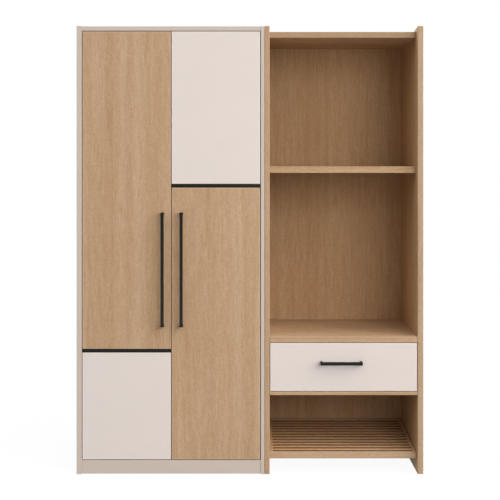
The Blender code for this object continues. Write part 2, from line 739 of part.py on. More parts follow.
def build_door(side, inner_x, outward, strip_level, finishes, handle_inset):
    """One door: two panels joined by a metal strip, its handle, and its hinges."""
    near = inner_x + outward * DOOR_GAP
    far = near + outward * DOOR_WIDTH
    low_x, high_x = min(near, far), max(near, far)
    lower = board(
        f"{side}_door_lower_panel",
        (low_x, FRONT_Y, DOOR_BASE), (high_x, DOOR_BACK_Y, strip_level),
        finishes[0], BOARD_EDGE, 2,
    )
    strip = door_strip(f"{side}_door_strip", low_x, high_x, strip_level)
    upper = board(
        f"{side}_door_upper_panel",
        (low_x, FRONT_Y, strip_level + STRIP_HEIGHT), (high_x, DOOR_BACK_Y, DOOR_TOP),
        finishes[1], BOARD_EDGE, 2,
    )
    strip_top = strip_level + STRIP_HEIGHT
    groove_for_tongue(
        lower, low_x, high_x, strip_level - TONGUE_LENGTH - SEAT_GAP, strip_level + CUT_OVERRUN
    )
    groove_for_tongue(
        upper, low_x, high_x, strip_top - CUT_OVERRUN, strip_top + TONGUE_LENGTH + SEAT_GAP
    )
    levels = hinge_levels()
    cup_x = inner_x + outward * CUP_CENTRE_OUT
    bore_for_cups(lower, cup_x, [level for level in levels if level < strip_level])
    bore_for_cups(upper, cup_x, [level for level in levels if level > strip_level])
    handle_x = far - outward * handle_inset
    pull = handle(
        f"{side}_door_handle", (handle_x, 0, DOOR_HANDLE_BASE), "z", DOOR_HANDLE_LENGTH, FRONT_Y
    )

    places = [(inner_x, FRONT_Y, level) for level in levels]
    mirrored = outward < 0
    hinge = {}
    for piece, pattern in (
        ("cup", cup_pattern()), ("arm", arm_pattern()), ("link", link_pattern())
    ):
        names = [f"{side}_hinge_{piece}_{place}" for place in ("lower", "middle", "upper")]
        hinge[piece] = copies(pattern, names, places, mirrored, "steel")

    door_axis = joint_empty(
        f"{side}_door_axis", (inner_x + outward * DOOR_PIVOT_OUT, FRONT_Y + DOOR_PIVOT_BACK, 0)
    )
    carry(door_axis, (lower, strip, upper, pull, *hinge["cup"]))
    link_axis = joint_empty(
        f"{side}_link_axis", (inner_x + outward * ARM_PIVOT_OUT, FRONT_Y + ARM_PIVOT_BACK, 0)
    )
    carry(link_axis, hinge["link"])


def side_outline():
    """Outline of a shelf unit's side: its top falls from the front to the level of the top board."""
    return [
        (FRONT_Y, 0), (BACK_Y, 0), (BACK_Y, SHELF_TOP),
        (FRONT_Y + CHEEK_RUN, SHELF_TOP), (FRONT_Y, OVERALL_HEIGHT),
    ]


def build_shelf_sides():
    """The two upright panels of the shelf unit, which reach the floor as its legs."""
    left = extruded(
        "shelf_unit_left_side", [side_outline()], SHELF_LEFT, SHELF_IN_LEFT, "x", "oak"
    )
    right = extruded(
        "shelf_unit_right_side", [side_outline()], SHELF_IN_RIGHT, RIGHT_X, "x", "oak"
    )
    for side in (left, right):
        round_edges(side, SIDE_EDGE, 3)
    groove_high = SHELF_TOP - SHELF_BOARD_THICKNESS + BACK_GROOVE_DEPTH + SEAT_GAP
    groove_for_back(left, SHELF_IN_LEFT, -1, RACK_RAIL_LEVEL - SEAT_GAP, groove_high)
    groove_for_back(right, SHELF_IN_RIGHT, 1, RACK_RAIL_LEVEL - SEAT_GAP, groove_high)


def build_shelf_boards():
    """The shelf unit's top, its shelf, and the boards over and under the drawer."""
    left, right = SHELF_IN_LEFT + SEAT_GAP, SHELF_IN_RIGHT - SEAT_GAP
    rear = BACK_FACE_Y - SEAT_GAP
    ceiling = SHELF_TOP - SHELF_BOARD_THICKNESS
    top = board(
        "shelf_unit_top",
        (left, FRONT_Y + SHELF_BOARD_SETBACK, ceiling), (right, BACK_Y, SHELF_TOP),
        "oak",
    )
    groove = bmesh.new()
    add_box(
        groove,
        (left - CUT_OVERRUN, BACK_FACE_Y - SEAT_GAP, ceiling - CUT_OVERRUN),
        (right + CUT_OVERRUN, BACK_FACE_Y + BACK_THICKNESS + SEAT_GAP,
         ceiling + BACK_GROOVE_DEPTH + SEAT_GAP),
    )
    cut(top, groove)
    boards = (
        ("upper_shelf", SHELF_BOARD_SETBACK, UPPER_SHELF_LEVEL, UPPER_SHELF_THICKNESS),
        ("drawer_cover_board", 0, DRAWER_COVER_LEVEL, SHELF_BOARD_THICKNESS),
        ("drawer_floor_board", 0, DRAWER_FLOOR_LEVEL, DRAWER_FLOOR_THICKNESS),
    )
    for name, setback, level, thickness in boards:
        board(
            name,
            (left, FRONT_Y + setback, level - thickness), (right, rear, level),
            "oak",
        )
    board(
        "shelf_unit_back",
        (SHELF_IN_LEFT - BACK_GROOVE_DEPTH, BACK_FACE_Y, RACK_RAIL_LEVEL),
        (SHELF_IN_RIGHT + BACK_GROOVE_DEPTH, BACK_FACE_Y + BACK_THICKNESS,
         ceiling + BACK_GROOVE_DEPTH),
        "oak", BACK_THICKNESS / 10,
    )


def bearer_outline(near, far, low, high):
    """Side view of a bearer that climbs from the front rail to the rear rail."""
    return [(near, low), (far, low + RACK_RISE), (far, high + RACK_RISE), (near, high)]


def slats(near, far):
    """The slats between the bearers, level with their top edges, as a bmesh."""
    slope = math.atan2(RACK_RISE, far - near)
    run = (far - near) / math.cos(slope)
    gap = (run - SLAT_COUNT * SLAT_DEPTH) / (SLAT_COUNT + 1)
    inset = BEARER_GAP + BEARER_WIDTH - SLAT_HOUSING
    pattern = shape_of(board(
        "slat",
        (SHELF_IN_LEFT + inset, -SLAT_DEPTH / 2, -SLAT_THICKNESS - RACK_FLUSH),
        (SHELF_IN_RIGHT - inset, SLAT_DEPTH / 2, -RACK_FLUSH),
        "oak", SLAT_EDGE,
    ))
    slat = finished_mesh("slat", pattern)
    incline = Matrix.Translation((0, near, RACK_TOP)) @ Matrix.Rotation(slope, 4, "X")
    shape = bmesh.new()
    for index in range(SLAT_COUNT):
        along = gap + SLAT_DEPTH / 2 + index * (SLAT_DEPTH + gap)
        copy = slat.copy()
        copy.transform(incline @ Matrix.Translation((0, along, 0)))
        shape.from_mesh(copy)
    return shape


def build_shoe_rack():
    """Rails across the unit, and the slats housed in a sloping bearer at each side."""
    left, right = SHELF_IN_LEFT + SEAT_GAP, SHELF_IN_RIGHT - SEAT_GAP
    rear = BACK_FACE_Y - SEAT_GAP
    front_rail_back = RACK_FRONT_Y + RACK_RAIL_THICKNESS
    rear_rail_front = rear - RACK_RAIL_THICKNESS
    board(
        "rack_front_rail",
        (left, RACK_FRONT_Y, RACK_RAIL_LEVEL), (right, front_rail_back, RACK_TOP),
        "oak",
    )
    board(
        "rack_rear_rail",
        (left, rear_rail_front, RACK_RAIL_LEVEL + RACK_RISE), (right, rear, RACK_TOP + RACK_RISE),
        "oak",
    )
    near, far = front_rail_back + SEAT_GAP, rear_rail_front - SEAT_GAP
    outline = bearer_outline(near, far, RACK_RAIL_LEVEL, RACK_TOP)
    low = SHELF_IN_LEFT + BEARER_GAP
    rack = extruded("rack_slats", [outline], low, low + BEARER_WIDTH, "x", "oak")
    cut(rack, slats(near, far), "UNION")
    high = SHELF_IN_RIGHT - BEARER_GAP
    other = extruded("bearer", [outline], high - BEARER_WIDTH, high, "x", "oak")
    cut(rack, shape_of(other), "UNION")


def build_drawer():
    """The drawer: its front, box, handle and the runner members that ride with it."""
    low_x, high_x = SHELF_IN_LEFT + DRAWER_GAP, SHELF_IN_RIGHT - DRAWER_GAP
    front_back = FRONT_Y + DRAWER_FRONT_THICKNESS
    front = board(
        "drawer_front",
        (low_x, FRONT_Y, DRAWER_FLOOR_LEVEL + DRAWER_GAP),
        (high_x, front_back, DRAWER_CEILING - DRAWER_GAP),
        "cream", BOARD_EDGE, 2,
    )
    box_low, box_high = DRAWER_BOX_BASE, DRAWER_BOX_BASE + DRAWER_BOX_HEIGHT
    wall_front = front_back + SEAT_GAP
    outer_left = SHELF_IN_LEFT + RUNNER_THICKNESS + 2 * SEAT_GAP
    outer_right = SHELF_IN_RIGHT - RUNNER_THICKNESS - 2 * SEAT_GAP
    inner_left, inner_right = outer_left + DRAWER_WALL, outer_right - DRAWER_WALL
    left_wall = board(
        "drawer_left_wall",
        (outer_left, wall_front, box_low), (inner_left, DRAWER_BOX_BACK_Y, box_high),
        "white_board",
    )
    right_wall = board(
        "drawer_right_wall",
        (inner_right, wall_front, box_low), (outer_right, DRAWER_BOX_BACK_Y, box_high),
        "white_board",
    )
    base_low = box_low + DRAWER_BASE_LIFT
    base_high = base_low + DRAWER_BASE_THICKNESS
    back = board(
        "drawer_back",
        (inner_left + SEAT_GAP, DRAWER_BOX_BACK_Y - DRAWER_WALL, base_high + SEAT_GAP),
        (inner_right - SEAT_GAP, DRAWER_BOX_BACK_Y, box_high),
        "white_board",
    )
    base = board(
        "drawer_base",
        (inner_left - DRAWER_GROOVE_DEPTH, front_back - DRAWER_GROOVE_DEPTH, base_low),
        (inner_right + DRAWER_GROOVE_DEPTH, DRAWER_BOX_BACK_Y, base_high),
        "white_board", DRAWER_BASE_THICKNESS / 10,
    )
    for panel in (left_wall, right_wall, front):
        groove = bmesh.new()
        add_box(
            groove,
            (inner_left - DRAWER_GROOVE_DEPTH - SEAT_GAP,
             front_back - DRAWER_GROOVE_DEPTH - SEAT_GAP, base_low - SEAT_GAP),
            (inner_right + DRAWER_GROOVE_DEPTH + SEAT_GAP,
             DRAWER_BOX_BACK_Y + CUT_OVERRUN, base_high + SEAT_GAP),
        )
        cut(panel, groove)
    middle = (low_x + high_x) / 2 + DRAWER_HANDLE_SHIFT
    start = (middle - DRAWER_HANDLE_LENGTH / 2, 0, DRAWER_HANDLE_LEVEL)
    pull = handle("drawer_handle", start, "x", DRAWER_HANDLE_LENGTH, FRONT_Y)
    runners = build_runners()
    pivot = joint_empty("drawer_slide_axis", ((low_x + high_x) / 2, FRONT_Y, RUNNER_Z))
    carry(pivot, (front, left_wall, right_wall, back, base, pull, *runners))


def runner_member(name, web, open_end, half_height, shorter):
    """A channel along the drawer, from its web to its open side; x runs in from the panel."""
    near_y, far_y = RUNNER_Y + shorter, DRAWER_BOX_BACK_Y - shorter
    low_x, high_x = min(web, open_end), max(web, open_end)
    member = board(
        name,
        (low_x, near_y, -half_height), (high_x, far_y, half_height), "steel", RUNNER_SHEET / 4,
    )
    hollow = bmesh.new()
    inside = half_height - RUNNER_SHEET
    start = low_x + RUNNER_SHEET if web == low_x else low_x - CUT_OVERRUN
    end = high_x + CUT_OVERRUN if web == low_x else high_x - RUNNER_SHEET
    add_box(
        hollow, (start, near_y - CUT_OVERRUN, -inside), (end, far_y + CUT_OVERRUN, inside)
    )
    cut(member, hollow)
    return member


def build_runners():
    """Three nested members at each side: on the cabinet, between, and on the drawer."""
    step = RUNNER_SHEET + SEAT_GAP
    middle_half = RUNNER_HALF_HEIGHT - step
    inner_half = middle_half - step
    members = (
        ("cabinet", 0, RUNNER_OUTER_FLANGE, RUNNER_HALF_HEIGHT, 0),
        ("middle", RUNNER_MIDDLE_START, RUNNER_MIDDLE_END, middle_half, RUNNER_MIDDLE_SHORTER),
        ("drawer", RUNNER_THICKNESS, RUNNER_INNER_START, inner_half, 0),
    )
    places = (
        (SHELF_IN_LEFT + SEAT_GAP, 0, RUNNER_Z), (SHELF_IN_RIGHT - SEAT_GAP, 0, RUNNER_Z)
    )
    made = {}
    for member, *sizes in members:
        made[member] = []
        for side, place, mirrored in zip(("left", "right"), places, (False, True)):
            pattern = runner_member("member", *sizes)
            name = f"{side}_runner_{member}_member"
            made[member] += copies(pattern, [name], [place], mirrored, "steel")
    pivot = joint_empty("runner_middle_axis", (0, RUNNER_Y, RUNNER_Z))
    carry(pivot, made["middle"])
    return made["drawer"]


def main():
    """Builds the wardrobe and the shelf unit."""
    clear_scene()
    build_wardrobe_sides()
    build_wardrobe_boards()
    build_hanging_rail()
    build_door(
        "left", WARDROBE_IN_LEFT, 1, LEFT_STRIP_LEVEL, ("cream", "oak"), LEFT_HANDLE_INSET
    )
    build_door(
        "right", WARDROBE_IN_RIGHT, -1, RIGHT_STRIP_LEVEL, ("oak", "cream"), RIGHT_HANDLE_INSET
    )
    build_shelf_sides()
    build_shelf_boards()
    build_shoe_rack()
    build_drawer()


main()
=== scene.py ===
"""Dresses a two-door wardrobe and its open shelf unit: board finishes, metal fittings, studio."""

import math

import bmesh
import bpy
from bpy.props import FloatProperty, FloatVectorProperty, IntProperty, PointerProperty
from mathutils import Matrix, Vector


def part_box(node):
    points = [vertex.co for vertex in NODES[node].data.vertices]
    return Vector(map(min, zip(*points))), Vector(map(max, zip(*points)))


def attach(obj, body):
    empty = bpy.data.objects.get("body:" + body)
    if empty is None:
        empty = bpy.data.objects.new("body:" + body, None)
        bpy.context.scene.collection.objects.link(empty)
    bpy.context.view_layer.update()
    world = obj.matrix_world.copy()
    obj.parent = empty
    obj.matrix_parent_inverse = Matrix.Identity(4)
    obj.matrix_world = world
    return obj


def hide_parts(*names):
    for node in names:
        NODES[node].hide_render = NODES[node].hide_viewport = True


bl_info = {
    "name": "Wardrobe Dresser",
    "version": (1, 0, 0),
    "blender": (4, 5, 0),
    "location": "3D Viewport > Sidebar > Wardrobe",
    "description": "Finishes and fittings for a two-door wardrobe with an open shelf unit",
    "category": "Object",
}

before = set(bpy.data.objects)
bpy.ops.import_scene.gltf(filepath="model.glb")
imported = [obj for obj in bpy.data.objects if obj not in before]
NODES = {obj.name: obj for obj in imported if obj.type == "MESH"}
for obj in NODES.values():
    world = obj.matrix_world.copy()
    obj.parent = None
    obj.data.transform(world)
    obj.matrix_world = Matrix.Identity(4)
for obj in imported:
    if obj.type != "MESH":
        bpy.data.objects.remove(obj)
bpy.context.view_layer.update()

# All lengths are in metres, but for the camera's. How far a fitting stands off what it sits on,
# and the distance at which two points are one
TOUCH = 0.0003
MERGE = 0.00001
# Faces that meet at less than FLAT become one. Edges above ROUNDED are rounded, and those above
# SHARP, or SHARP_ROUND on round fittings, stay sharp in the shading
FLAT = math.radians(0.5)
ROUNDED = math.radians(30)
SHARP = math.radians(40)
SHARP_ROUND = math.radians(35)
# The cosine above which two directions count as one
ALIGNED = 0.99
QUARTER = math.pi / 2

SIDES = ("left", "right")
HEIGHTS = ("lower", "middle", "upper")
X, Y, Z = range(3)

# Oak boards: the axis that the grain runs along, the nodes, how far the noise moves from one
# board to the next, and where it starts
OAK_BOARDS = (
    (
        Z,
        (
            "left_door_upper_panel", "right_door_lower_panel", "shelf_unit_left_side",
            "shelf_unit_right_side", "shelf_unit_back",
        ),
        (1.37, 0.83, 2.11), (0.4, 0, 0),
    ),
    (
        X,
        (
            "shelf_unit_top", "upper_shelf", "drawer_cover_board", "drawer_floor_board",
            "rack_front_rail", "rack_rear_rail", "rack_slats",
        ),
        (1.91, 0.57, 1.23), (0.7, 2.6, 5.1),
    ),
)
# Plain boards: the colour's property and the nodes
PLAIN_BOARDS = (
    ("taupe", (
        "wardrobe_left_side", "wardrobe_right_side", "wardrobe_top", "wardrobe_floor",
        "wardrobe_plinth", "hat_shelf",
    )),
    ("cream", ("left_door_lower_panel", "right_door_upper_panel", "drawer_front")),
    ("white", (
        "wardrobe_back", "drawer_left_wall", "drawer_right_wall", "drawer_back", "drawer_base",
    )),
)
PLAIN_STEPS = (1.1, 0.7, 1.9)
# What the oak's colour is multiplied by on some boards, and then on their front and rear edges
# Those marked below are painted light and shade
OAK_TINTS_AND_LIGHT = {
    # shelf_unit_right_side: darker and warmer as painted shade on its inner face
    "shelf_unit_back": (1.05, 1.015, 0.93), "shelf_unit_right_side": (0.93, 0.91, 0.83),
    # rack_front_rail: lighter as painted light, where the lamps leave it dimmer than other fronts
    # rack_slats: lighter, as painted light on their tops beside their painted-shade gaps
    "rack_front_rail": (1.05, 1.08, 1.15), "rack_slats": (1.20, 1.11, 1.01),
}
EDGE_TONES_AND_SHADE = {
    # shelf_unit_right_side: its front and rear edges are lifted back from that painted shade
    "shelf_unit_left_side": (0.95, 0.93, 0.93), "shelf_unit_right_side": (1.04, 1.11, 1.31),
    # rack_slats: front and rear faces darkened as painted shade in the gaps between the slats
    "shelf_unit_top": (0.86, 0.87, 0.89), "rack_slats": (0.29, 0.25, 0.21),
}


# Selecting and finishing

def pick(*things):
    """Selects these objects only, the last one active."""
    if bpy.context.mode != "OBJECT":
        bpy.ops.object.mode_set(mode="OBJECT")
    bpy.ops.object.select_all(action="DESELECT")
    for thing in things:
        thing.select_set(True)
    bpy.context.view_layer.objects.active = things[-1]


def open_edit(thing, mode="FACE"):
    """Opens one object in edit mode with nothing selected."""
    pick(thing)
    bpy.ops.object.mode_set(mode="EDIT")
    bpy.ops.mesh.select_mode(type=mode)
    bpy.ops.mesh.select_all(action="DESELECT")


def close_edit():
    """Leaves edit mode."""
    bpy.ops.object.mode_set(mode="OBJECT")


def choose(thing, kind, test):
    """In edit mode, selects the faces, edges or verts that pass a test, and nothing else."""
    bpy.ops.mesh.select_all(action="DESELECT")
    shape = bmesh.from_edit_mesh(thing.data)
    for element in getattr(shape, kind):
        if test(element):
            element.select_set(True)
    shape.select_flush_mode()
    bmesh.update_edit_mesh(thing.data)


def faces_towards(thing, direction):
    """In edit mode, selects the faces that look one way."""
    aim = Vector(direction)
    choose(thing, "faces", lambda face: face.normal.dot(aim) > ALIGNED)


def settle(thing, name=None):
    """Puts an object's place in its mesh, so that the object sits at the origin."""
    pick(thing)
    bpy.ops.object.transform_apply(location=True, rotation=True, scale=True)
    if name:
        thing.name = name
        thing.data.name = name
    return thing


def soften(thing, width, segments=2):
    """Rounds sharp edges with a Bevel that is applied, and shades the rest smooth."""
    pick(thing)
    bevel = thing.modifiers.new("edges", "BEVEL")
    bevel.width = width
    bevel.segments = segments
    bevel.limit_method = "ANGLE"
    bevel.angle_limit = ROUNDED
    bpy.ops.object.modifier_apply(modifier=bevel.name)
    bpy.ops.object.shade_smooth_by_angle(angle=SHARP)


def remove(*things):
    """Deletes helper objects."""
    for thing in things:
        bpy.data.objects.remove(thing, do_unlink=True)


def combine(thing, cutter, operation="DIFFERENCE"):
    """Cuts another object out of one, or joins it on, and removes the other."""
    pick(thing)
    boolean = thing.modifiers.new("combine", "BOOLEAN")
    boolean.operation = operation
    boolean.object = cutter
    bpy.ops.object.modifier_apply(modifier=boolean.name)
    remove(cutter)


def copied(master, place, turn=(0, 0, 0), mirrored=False):
    """A copy of a master with its own mesh, turned and placed."""
    pick(master)
    bpy.ops.object.duplicate()
    copy = bpy.context.active_object
    copy.rotation_euler = turn
    copy.location = place
    if mirrored:
        copy.scale.x = -1
    settle(copy)
    if mirrored:
        open_edit(copy)
        bpy.ops.mesh.select_all(action="SELECT")
        bpy.ops.mesh.normals_make_consistent(inside=False)
        close_edit()
    return copy


def joined(name, things):
    """One object out of several."""
    pick(*things)
    bpy.ops.object.join()
    whole = bpy.context.active_object
    whole.name = name
    whole.data.name = name
    return whole


def block(low, high):
    """A primitive cube stretched between two corners."""
    low, high = Vector(low), Vector(high)
    bpy.ops.mesh.primitive_cube_add(size=1, location=(low + high) / 2)
    cube = bpy.context.active_object
    cube.scale = high - low
    return settle(cube)


def disc(radius, height, sides, place=(0, 0, 0), turn=(0, 0, 0)):
    """A primitive cylinder that stands on a point."""
    bpy.ops.mesh.primitive_cylinder_add(
        vertices=sides, radius=radius, depth=height, location=(0, 0, height / 2)
    )
    cylinder = settle(bpy.context.active_object)
    cylinder.rotation_euler = turn
    cylinder.location = place
    return settle(cylinder)


def belong(thing, body, finish, replaced=()):
    """Gives a finished piece its material, the body that it rides on and the node it stands for."""
    thing.data.materials.clear()
    thing.data.materials.append(finish)
    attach(thing, body)
    if replaced:
        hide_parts(*replaced)


def refined(node, name, width, segments=2):
    """A copy of a CAD node with its doubles merged and its edges rounded."""
    copy = bpy.data.objects.new(name, NODES[node].data.copy())
    bpy.context.scene.collection.objects.link(copy)
    open_edit(copy)
    bpy.ops.mesh.select_all(action="SELECT")
    bpy.ops.mesh.remove_doubles(threshold=MERGE)
    bpy.ops.mesh.dissolve_limited(angle_limit=FLAT)
    close_edit()
    soften(copy, width, segments)
    return copy


def stand_in(node, name, width, body, finish):
    """A refined copy that takes its node's place."""
    belong(refined(node, name, width), body, finish, (node,))


def near_face(node, side):
    """Where a node on one side of the wardrobe starts, and which way along X leads inwards."""
    low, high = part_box(node)
    return (low.x, 1) if side == "left" else (high.x, -1)


# Materials

WHITE = (1, 1, 1, 1)
# The noise moves by this many of its own units for each unit of a shift
SHIFT_UNIT = 7.3
# How far from a front panel's edges its painted highlight is full, and where it ends
HIGHLIGHT_BAND = (0.002, 0.005)
# How squarely a face looks to the front or the back where its edge tone starts and is full
EDGE_FACING = (0.3, 0.8)
# The floor's bounce at the other end of its faint grain, and its tone where it takes a shadow
FLOOR_GRAIN = 0.98
FLOOR_SHADE = 0.95

# The oak's noises: scale, stretch along the grain, detail and roughness. The layers also have a
# weight in the tone.
OAK_LAYERS = (
    (24, 0.014, 2, 0.50, 0.45), (90, 0.03, 2, 0.55, 0.20), (260, 0.06, 2, 0.60, 0.62),
    (430, 0.30, 2, 0.72, 0.95), (1100, 0.04, 2, 0.50, 0.26), (5, 0.30, 2, 0.45, 0.16),
)
ARCH_NOISE = (7.5, 0.10, 2, 0.45)
STREAK_NOISE = (26, 0.05, 3, 0.6)
HUE_NOISE = (17, 0.16, 3, 0.6)
# How many arches lie in the noise's whole range, and how much lighter the middle of one is
ARCHES = 16
ARCH_DEPTH = 0.16
# Where in its noise a dark streak starts and ends, and how much darker it is
STREAK_RANGE = (0.30, 0.42)
STREAK_DEPTH = 0.14
# How much lighter a front panel's edges are made by the painted highlight
HIGHLIGHT_LIFT = 0.22
# The tones of the three oak colours, and how far the hue swings to both sides
OAK_STOPS = ((0.18, "oak_dark"), (0.50, "oak_middle"), (0.82, "oak_light"))
WARM, COOL = (1.03, 1, 0.95), (0.97, 1, 1.05)
# Boards that lie flat are seen at a low angle, so their grain is drawn longer
LEVEL_GRAIN = (0.35, 0.30, 1)


def linear(colour, factor=1):
    """A colour as a shader wants it, from the colour as seen, times a factor."""
    parts = [c / 12.92 if c <= 0.04045 else ((c + 0.055) / 1.055) ** 2.4 for c in colour]
    return [min(1, part * factor) for part in parts] + [1]


def grey(level):
    """An even grey."""
    return (level, level, level, 1)


def cycled(shift, steps):
    """A shift with its first numbers moved to its end."""
    return shift[steps % 3:] + shift[:steps % 3]


def feed(tree, socket, source):
    """Gives a socket another node's output or a plain value."""
    if isinstance(source, bpy.types.NodeSocket):
        tree.links.new(source, socket)
    else:
        socket.default_value = source


def add_node(tree, kind, settings=None, inputs=None):
    """A node with its settings and its inputs, each an output or a plain value."""
    made = tree.nodes.new(kind)
    for key, value in (settings or {}).items():
        setattr(made, key, value)
    for key, source in (inputs or {}).items():
        feed(tree, made.inputs[key], source)
    return made


def maths(tree, operation, *inputs):
    """The result of one operation."""
    made = add_node(tree, "ShaderNodeMath", {"operation": operation}, dict(enumerate(inputs)))
    return made.outputs[0]


def weighted(tree, source, weight, base):
    """source times weight plus base."""
    return maths(tree, "MULTIPLY_ADD", source, weight, base)


def eased(tree, value, start, end, low=0.0, high=1.0):
    """Goes smoothly from low to high while the value goes from start to end."""
    ramp = add_node(
        tree, "ShaderNodeMapRange", {"interpolation_type": "SMOOTHSTEP"},
        {"Value": value, "From Min": start, "From Max": end, "To Min": low, "To Max": high},
    )
    return ramp.outputs["Result"]


def mixed(tree, factor, first, second, blend="MIX"):
    """The mix of two colours."""
    mix = add_node(
        tree, "ShaderNodeMix", {"data_type": "RGBA", "blend_type": blend},
        {0: factor, 6: first, 7: second},
    )
    return mix.outputs[2]


def mixed_shader(tree, factor, first, second):
    """The mix of two shaders."""
    mix = add_node(tree, "ShaderNodeMixShader", inputs={0: factor, 1: first, 2: second})
    return mix.outputs[0]


def looked_at(tree):
    """1 for a ray from the camera or from a reflection, 0 for one that only brings light."""
    path = add_node(tree, "ShaderNodeLightPath")
    return maths(tree, "MAXIMUM", path.outputs["Is Camera Ray"], path.outputs["Is Glossy Ray"])


def stretched_noise(tree, place, along, shift, scale, stretch=1, detail=2, roughness=0.5):
    """Noise that runs long along one axis."""
    mapping = add_node(tree, "ShaderNodeMapping", inputs={
        "Vector": place,
        "Location": [part * SHIFT_UNIT for part in shift],
        "Scale": [scale * (stretch if axis == along else 1) for axis in range(3)],
    })
    noise = add_node(tree, "ShaderNodeTexNoise", inputs={
        "Vector": mapping.outputs["Vector"], "Scale": 1.0, "Detail": detail,
        "Roughness": roughness,
    })
    return noise.outputs["Fac"]


def painted_edge_highlight(tree, place, node):
    """A painted highlight's mask: 1 along a front panel's four edges, falling to 0 inside them."""
    low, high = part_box(node)
    parts = add_node(tree, "ShaderNodeSeparateXYZ", inputs={"Vector": place})
    nearest = []
    for axis, start, end in (("X", low.x, high.x), ("Z", low.z, high.z)):
        from_low = weighted(tree, parts.outputs[axis], 1, -start)
        from_high = weighted(tree, parts.outputs[axis], -1, end)
        nearest.append(maths(tree, "MINIMUM", from_low, from_high))
    return eased(tree, maths(tree, "MINIMUM", *nearest), *HIGHLIGHT_BAND, low=1.0, high=0.0)


def edges_toned_and_shaded(tree, colour, tone):
    """Multiplies a board's front and rear faces by a tone; on the slats it is painted shade."""
    normal = add_node(tree, "ShaderNodeTexCoord").outputs["Normal"]
    parts = add_node(tree, "ShaderNodeSeparateXYZ", inputs={"Vector": normal})
    facing = eased(tree, maths(tree, "ABSOLUTE", parts.outputs["Y"]), *EDGE_FACING)
    return mixed(tree, facing, colour, (*tone, 1), "MULTIPLY")


def new_material(name, roughness, metallic=0.0, specular=0.2):
    """A material with its node tree, its Principled shader and the Object coordinates."""
    material = bpy.data.materials.new(name)
    material.use_nodes = True
    tree = material.node_tree
    shader = tree.nodes["Principled BSDF"]
    shader.inputs["Roughness"].default_value = roughness
    shader.inputs["Metallic"].default_value = metallic
    shader.inputs["Specular IOR Level"].default_value = specular
    return material, tree, shader, add_node(tree, "ShaderNodeTexCoord").outputs["Object"]


def coloured(tree, shader, colour, height, strength, distance):
    """Feeds the shader its colour and the bump of a height."""
    bump = add_node(tree, "ShaderNodeBump", inputs={
        "Height": height, "Strength": strength, "Distance": distance,
    })
    feed(tree, shader.inputs["Base Color"], colour)
    feed(tree, shader.inputs["Normal"], bump.outputs["Normal"])


def uneven(tree, shader, noise, roughness, spread):
    """Spreads the shader's roughness about a middle with a noise."""
    feed(tree, shader.inputs["Roughness"], weighted(tree, noise, spread, roughness - spread / 2))


def oak_finish(node, along, shift, colours):
    """Light oak decor with pores, streaks and faint arches that run along one axis."""
    material, tree, shader, place = new_material(
        f"{node}_oak", colours.oak_roughness, specular=0.04
    )
    if along == X:
        place = add_node(
            tree, "ShaderNodeVectorMath", {"operation": "MULTIPLY"}, {0: place, 1: LEVEL_GRAIN}
        ).outputs[0]
    noises = [
        stretched_noise(tree, place, along, cycled(shift, index), *layer[:4])
        for index, layer in enumerate(OAK_LAYERS)
    ]
    arches = stretched_noise(tree, place, along, shift[::-1], *ARCH_NOISE)
    rings = maths(tree, "PINGPONG", weighted(tree, arches, ARCHES, 0), 0.5)
    tone = weighted(tree, rings, ARCH_DEPTH, 0.5 - ARCH_DEPTH / 4)
    streaks = stretched_noise(tree, place, along, cycled(shift, 1), *STREAK_NOISE)
    dark = eased(tree, streaks, *STREAK_RANGE, low=-STREAK_DEPTH, high=0.0)
    tone = weighted(tree, dark, 1, tone)
    for noise, layer in zip(noises, OAK_LAYERS):
        weight = layer[4]
        tone = weighted(tree, noise, weight, weighted(tree, tone, 1, -weight / 2))
    # Door panels get a painted highlight along their edges
    if "door" in node:
        tone = weighted(tree, painted_edge_highlight(tree, place, node), HIGHLIGHT_LIFT, tone)
    ramp = add_node(tree, "ShaderNodeValToRGB", inputs={"Fac": tone})
    stops = ramp.color_ramp.elements
    stops.new(0.5)
    for stop, (position, name) in zip(stops, OAK_STOPS):
        stop.position = position
        stop.color = linear(getattr(colours, name))
    # On some boards the tint and the edge tone are painted light and shade
    tint = OAK_TINTS_AND_LIGHT.get(node, (1, 1, 1))
    warm, cool = (
        [part * factor for part, factor in zip(hue, tint)] + [1] for hue in (WARM, COOL)
    )
    swing = stretched_noise(tree, place, along, cycled(shift, 2), *HUE_NOISE)
    hue = mixed(tree, swing, warm, cool)
    colour = mixed(tree, 1.0, ramp.outputs["Color"], hue, "MULTIPLY")
    if node in EDGE_TONES_AND_SHADE:
        colour = edges_toned_and_shaded(tree, colour, EDGE_TONES_AND_SHADE[node])
    # The layers that also shape the surface
    pores, fibres = noises[2], noises[4]
    height = weighted(tree, fibres, 0.5, weighted(tree, pores, 0.5, 0))
    coloured(tree, shader, colour, height, strength=0.12, distance=0.0004)
    uneven(tree, shader, pores, colours.oak_roughness, spread=0.10)
    return material


def melamine_finish(node, colour, roughness, shift, with_highlight):
    """Plain coated board: an even colour with a faint mottle and an orange-peel surface."""
    material, tree, shader, place = new_material(f"{node}_melamine", roughness)
    mottle = stretched_noise(tree, place, Z, shift, scale=11)
    peel = stretched_noise(tree, place, Z, shift, scale=900)
    shown = mixed(tree, mottle, linear(colour, 0.965), linear(colour))
    # Cream panels get a painted highlight along their edges
    if with_highlight:
        shown = mixed(tree, painted_edge_highlight(tree, place, node), shown, linear(colour, 1.04))
    coloured(tree, shader, shown, peel, strength=0.10, distance=0.0002)
    uneven(tree, shader, mottle, roughness, spread=0.08)
    return material


def powder_coat(name, colour, roughness):
    """Dark powder coat with a fine grain."""
    material, tree, shader, place = new_material(name, roughness, specular=0.10)
    speck = stretched_noise(tree, place, Z, (1, 2, 3), scale=1500, detail=3)
    shown = mixed(tree, speck, linear(colour), linear(colour, 1.25))
    coloured(tree, shader, shown, speck, strength=0.18, distance=0.0001)
    return material


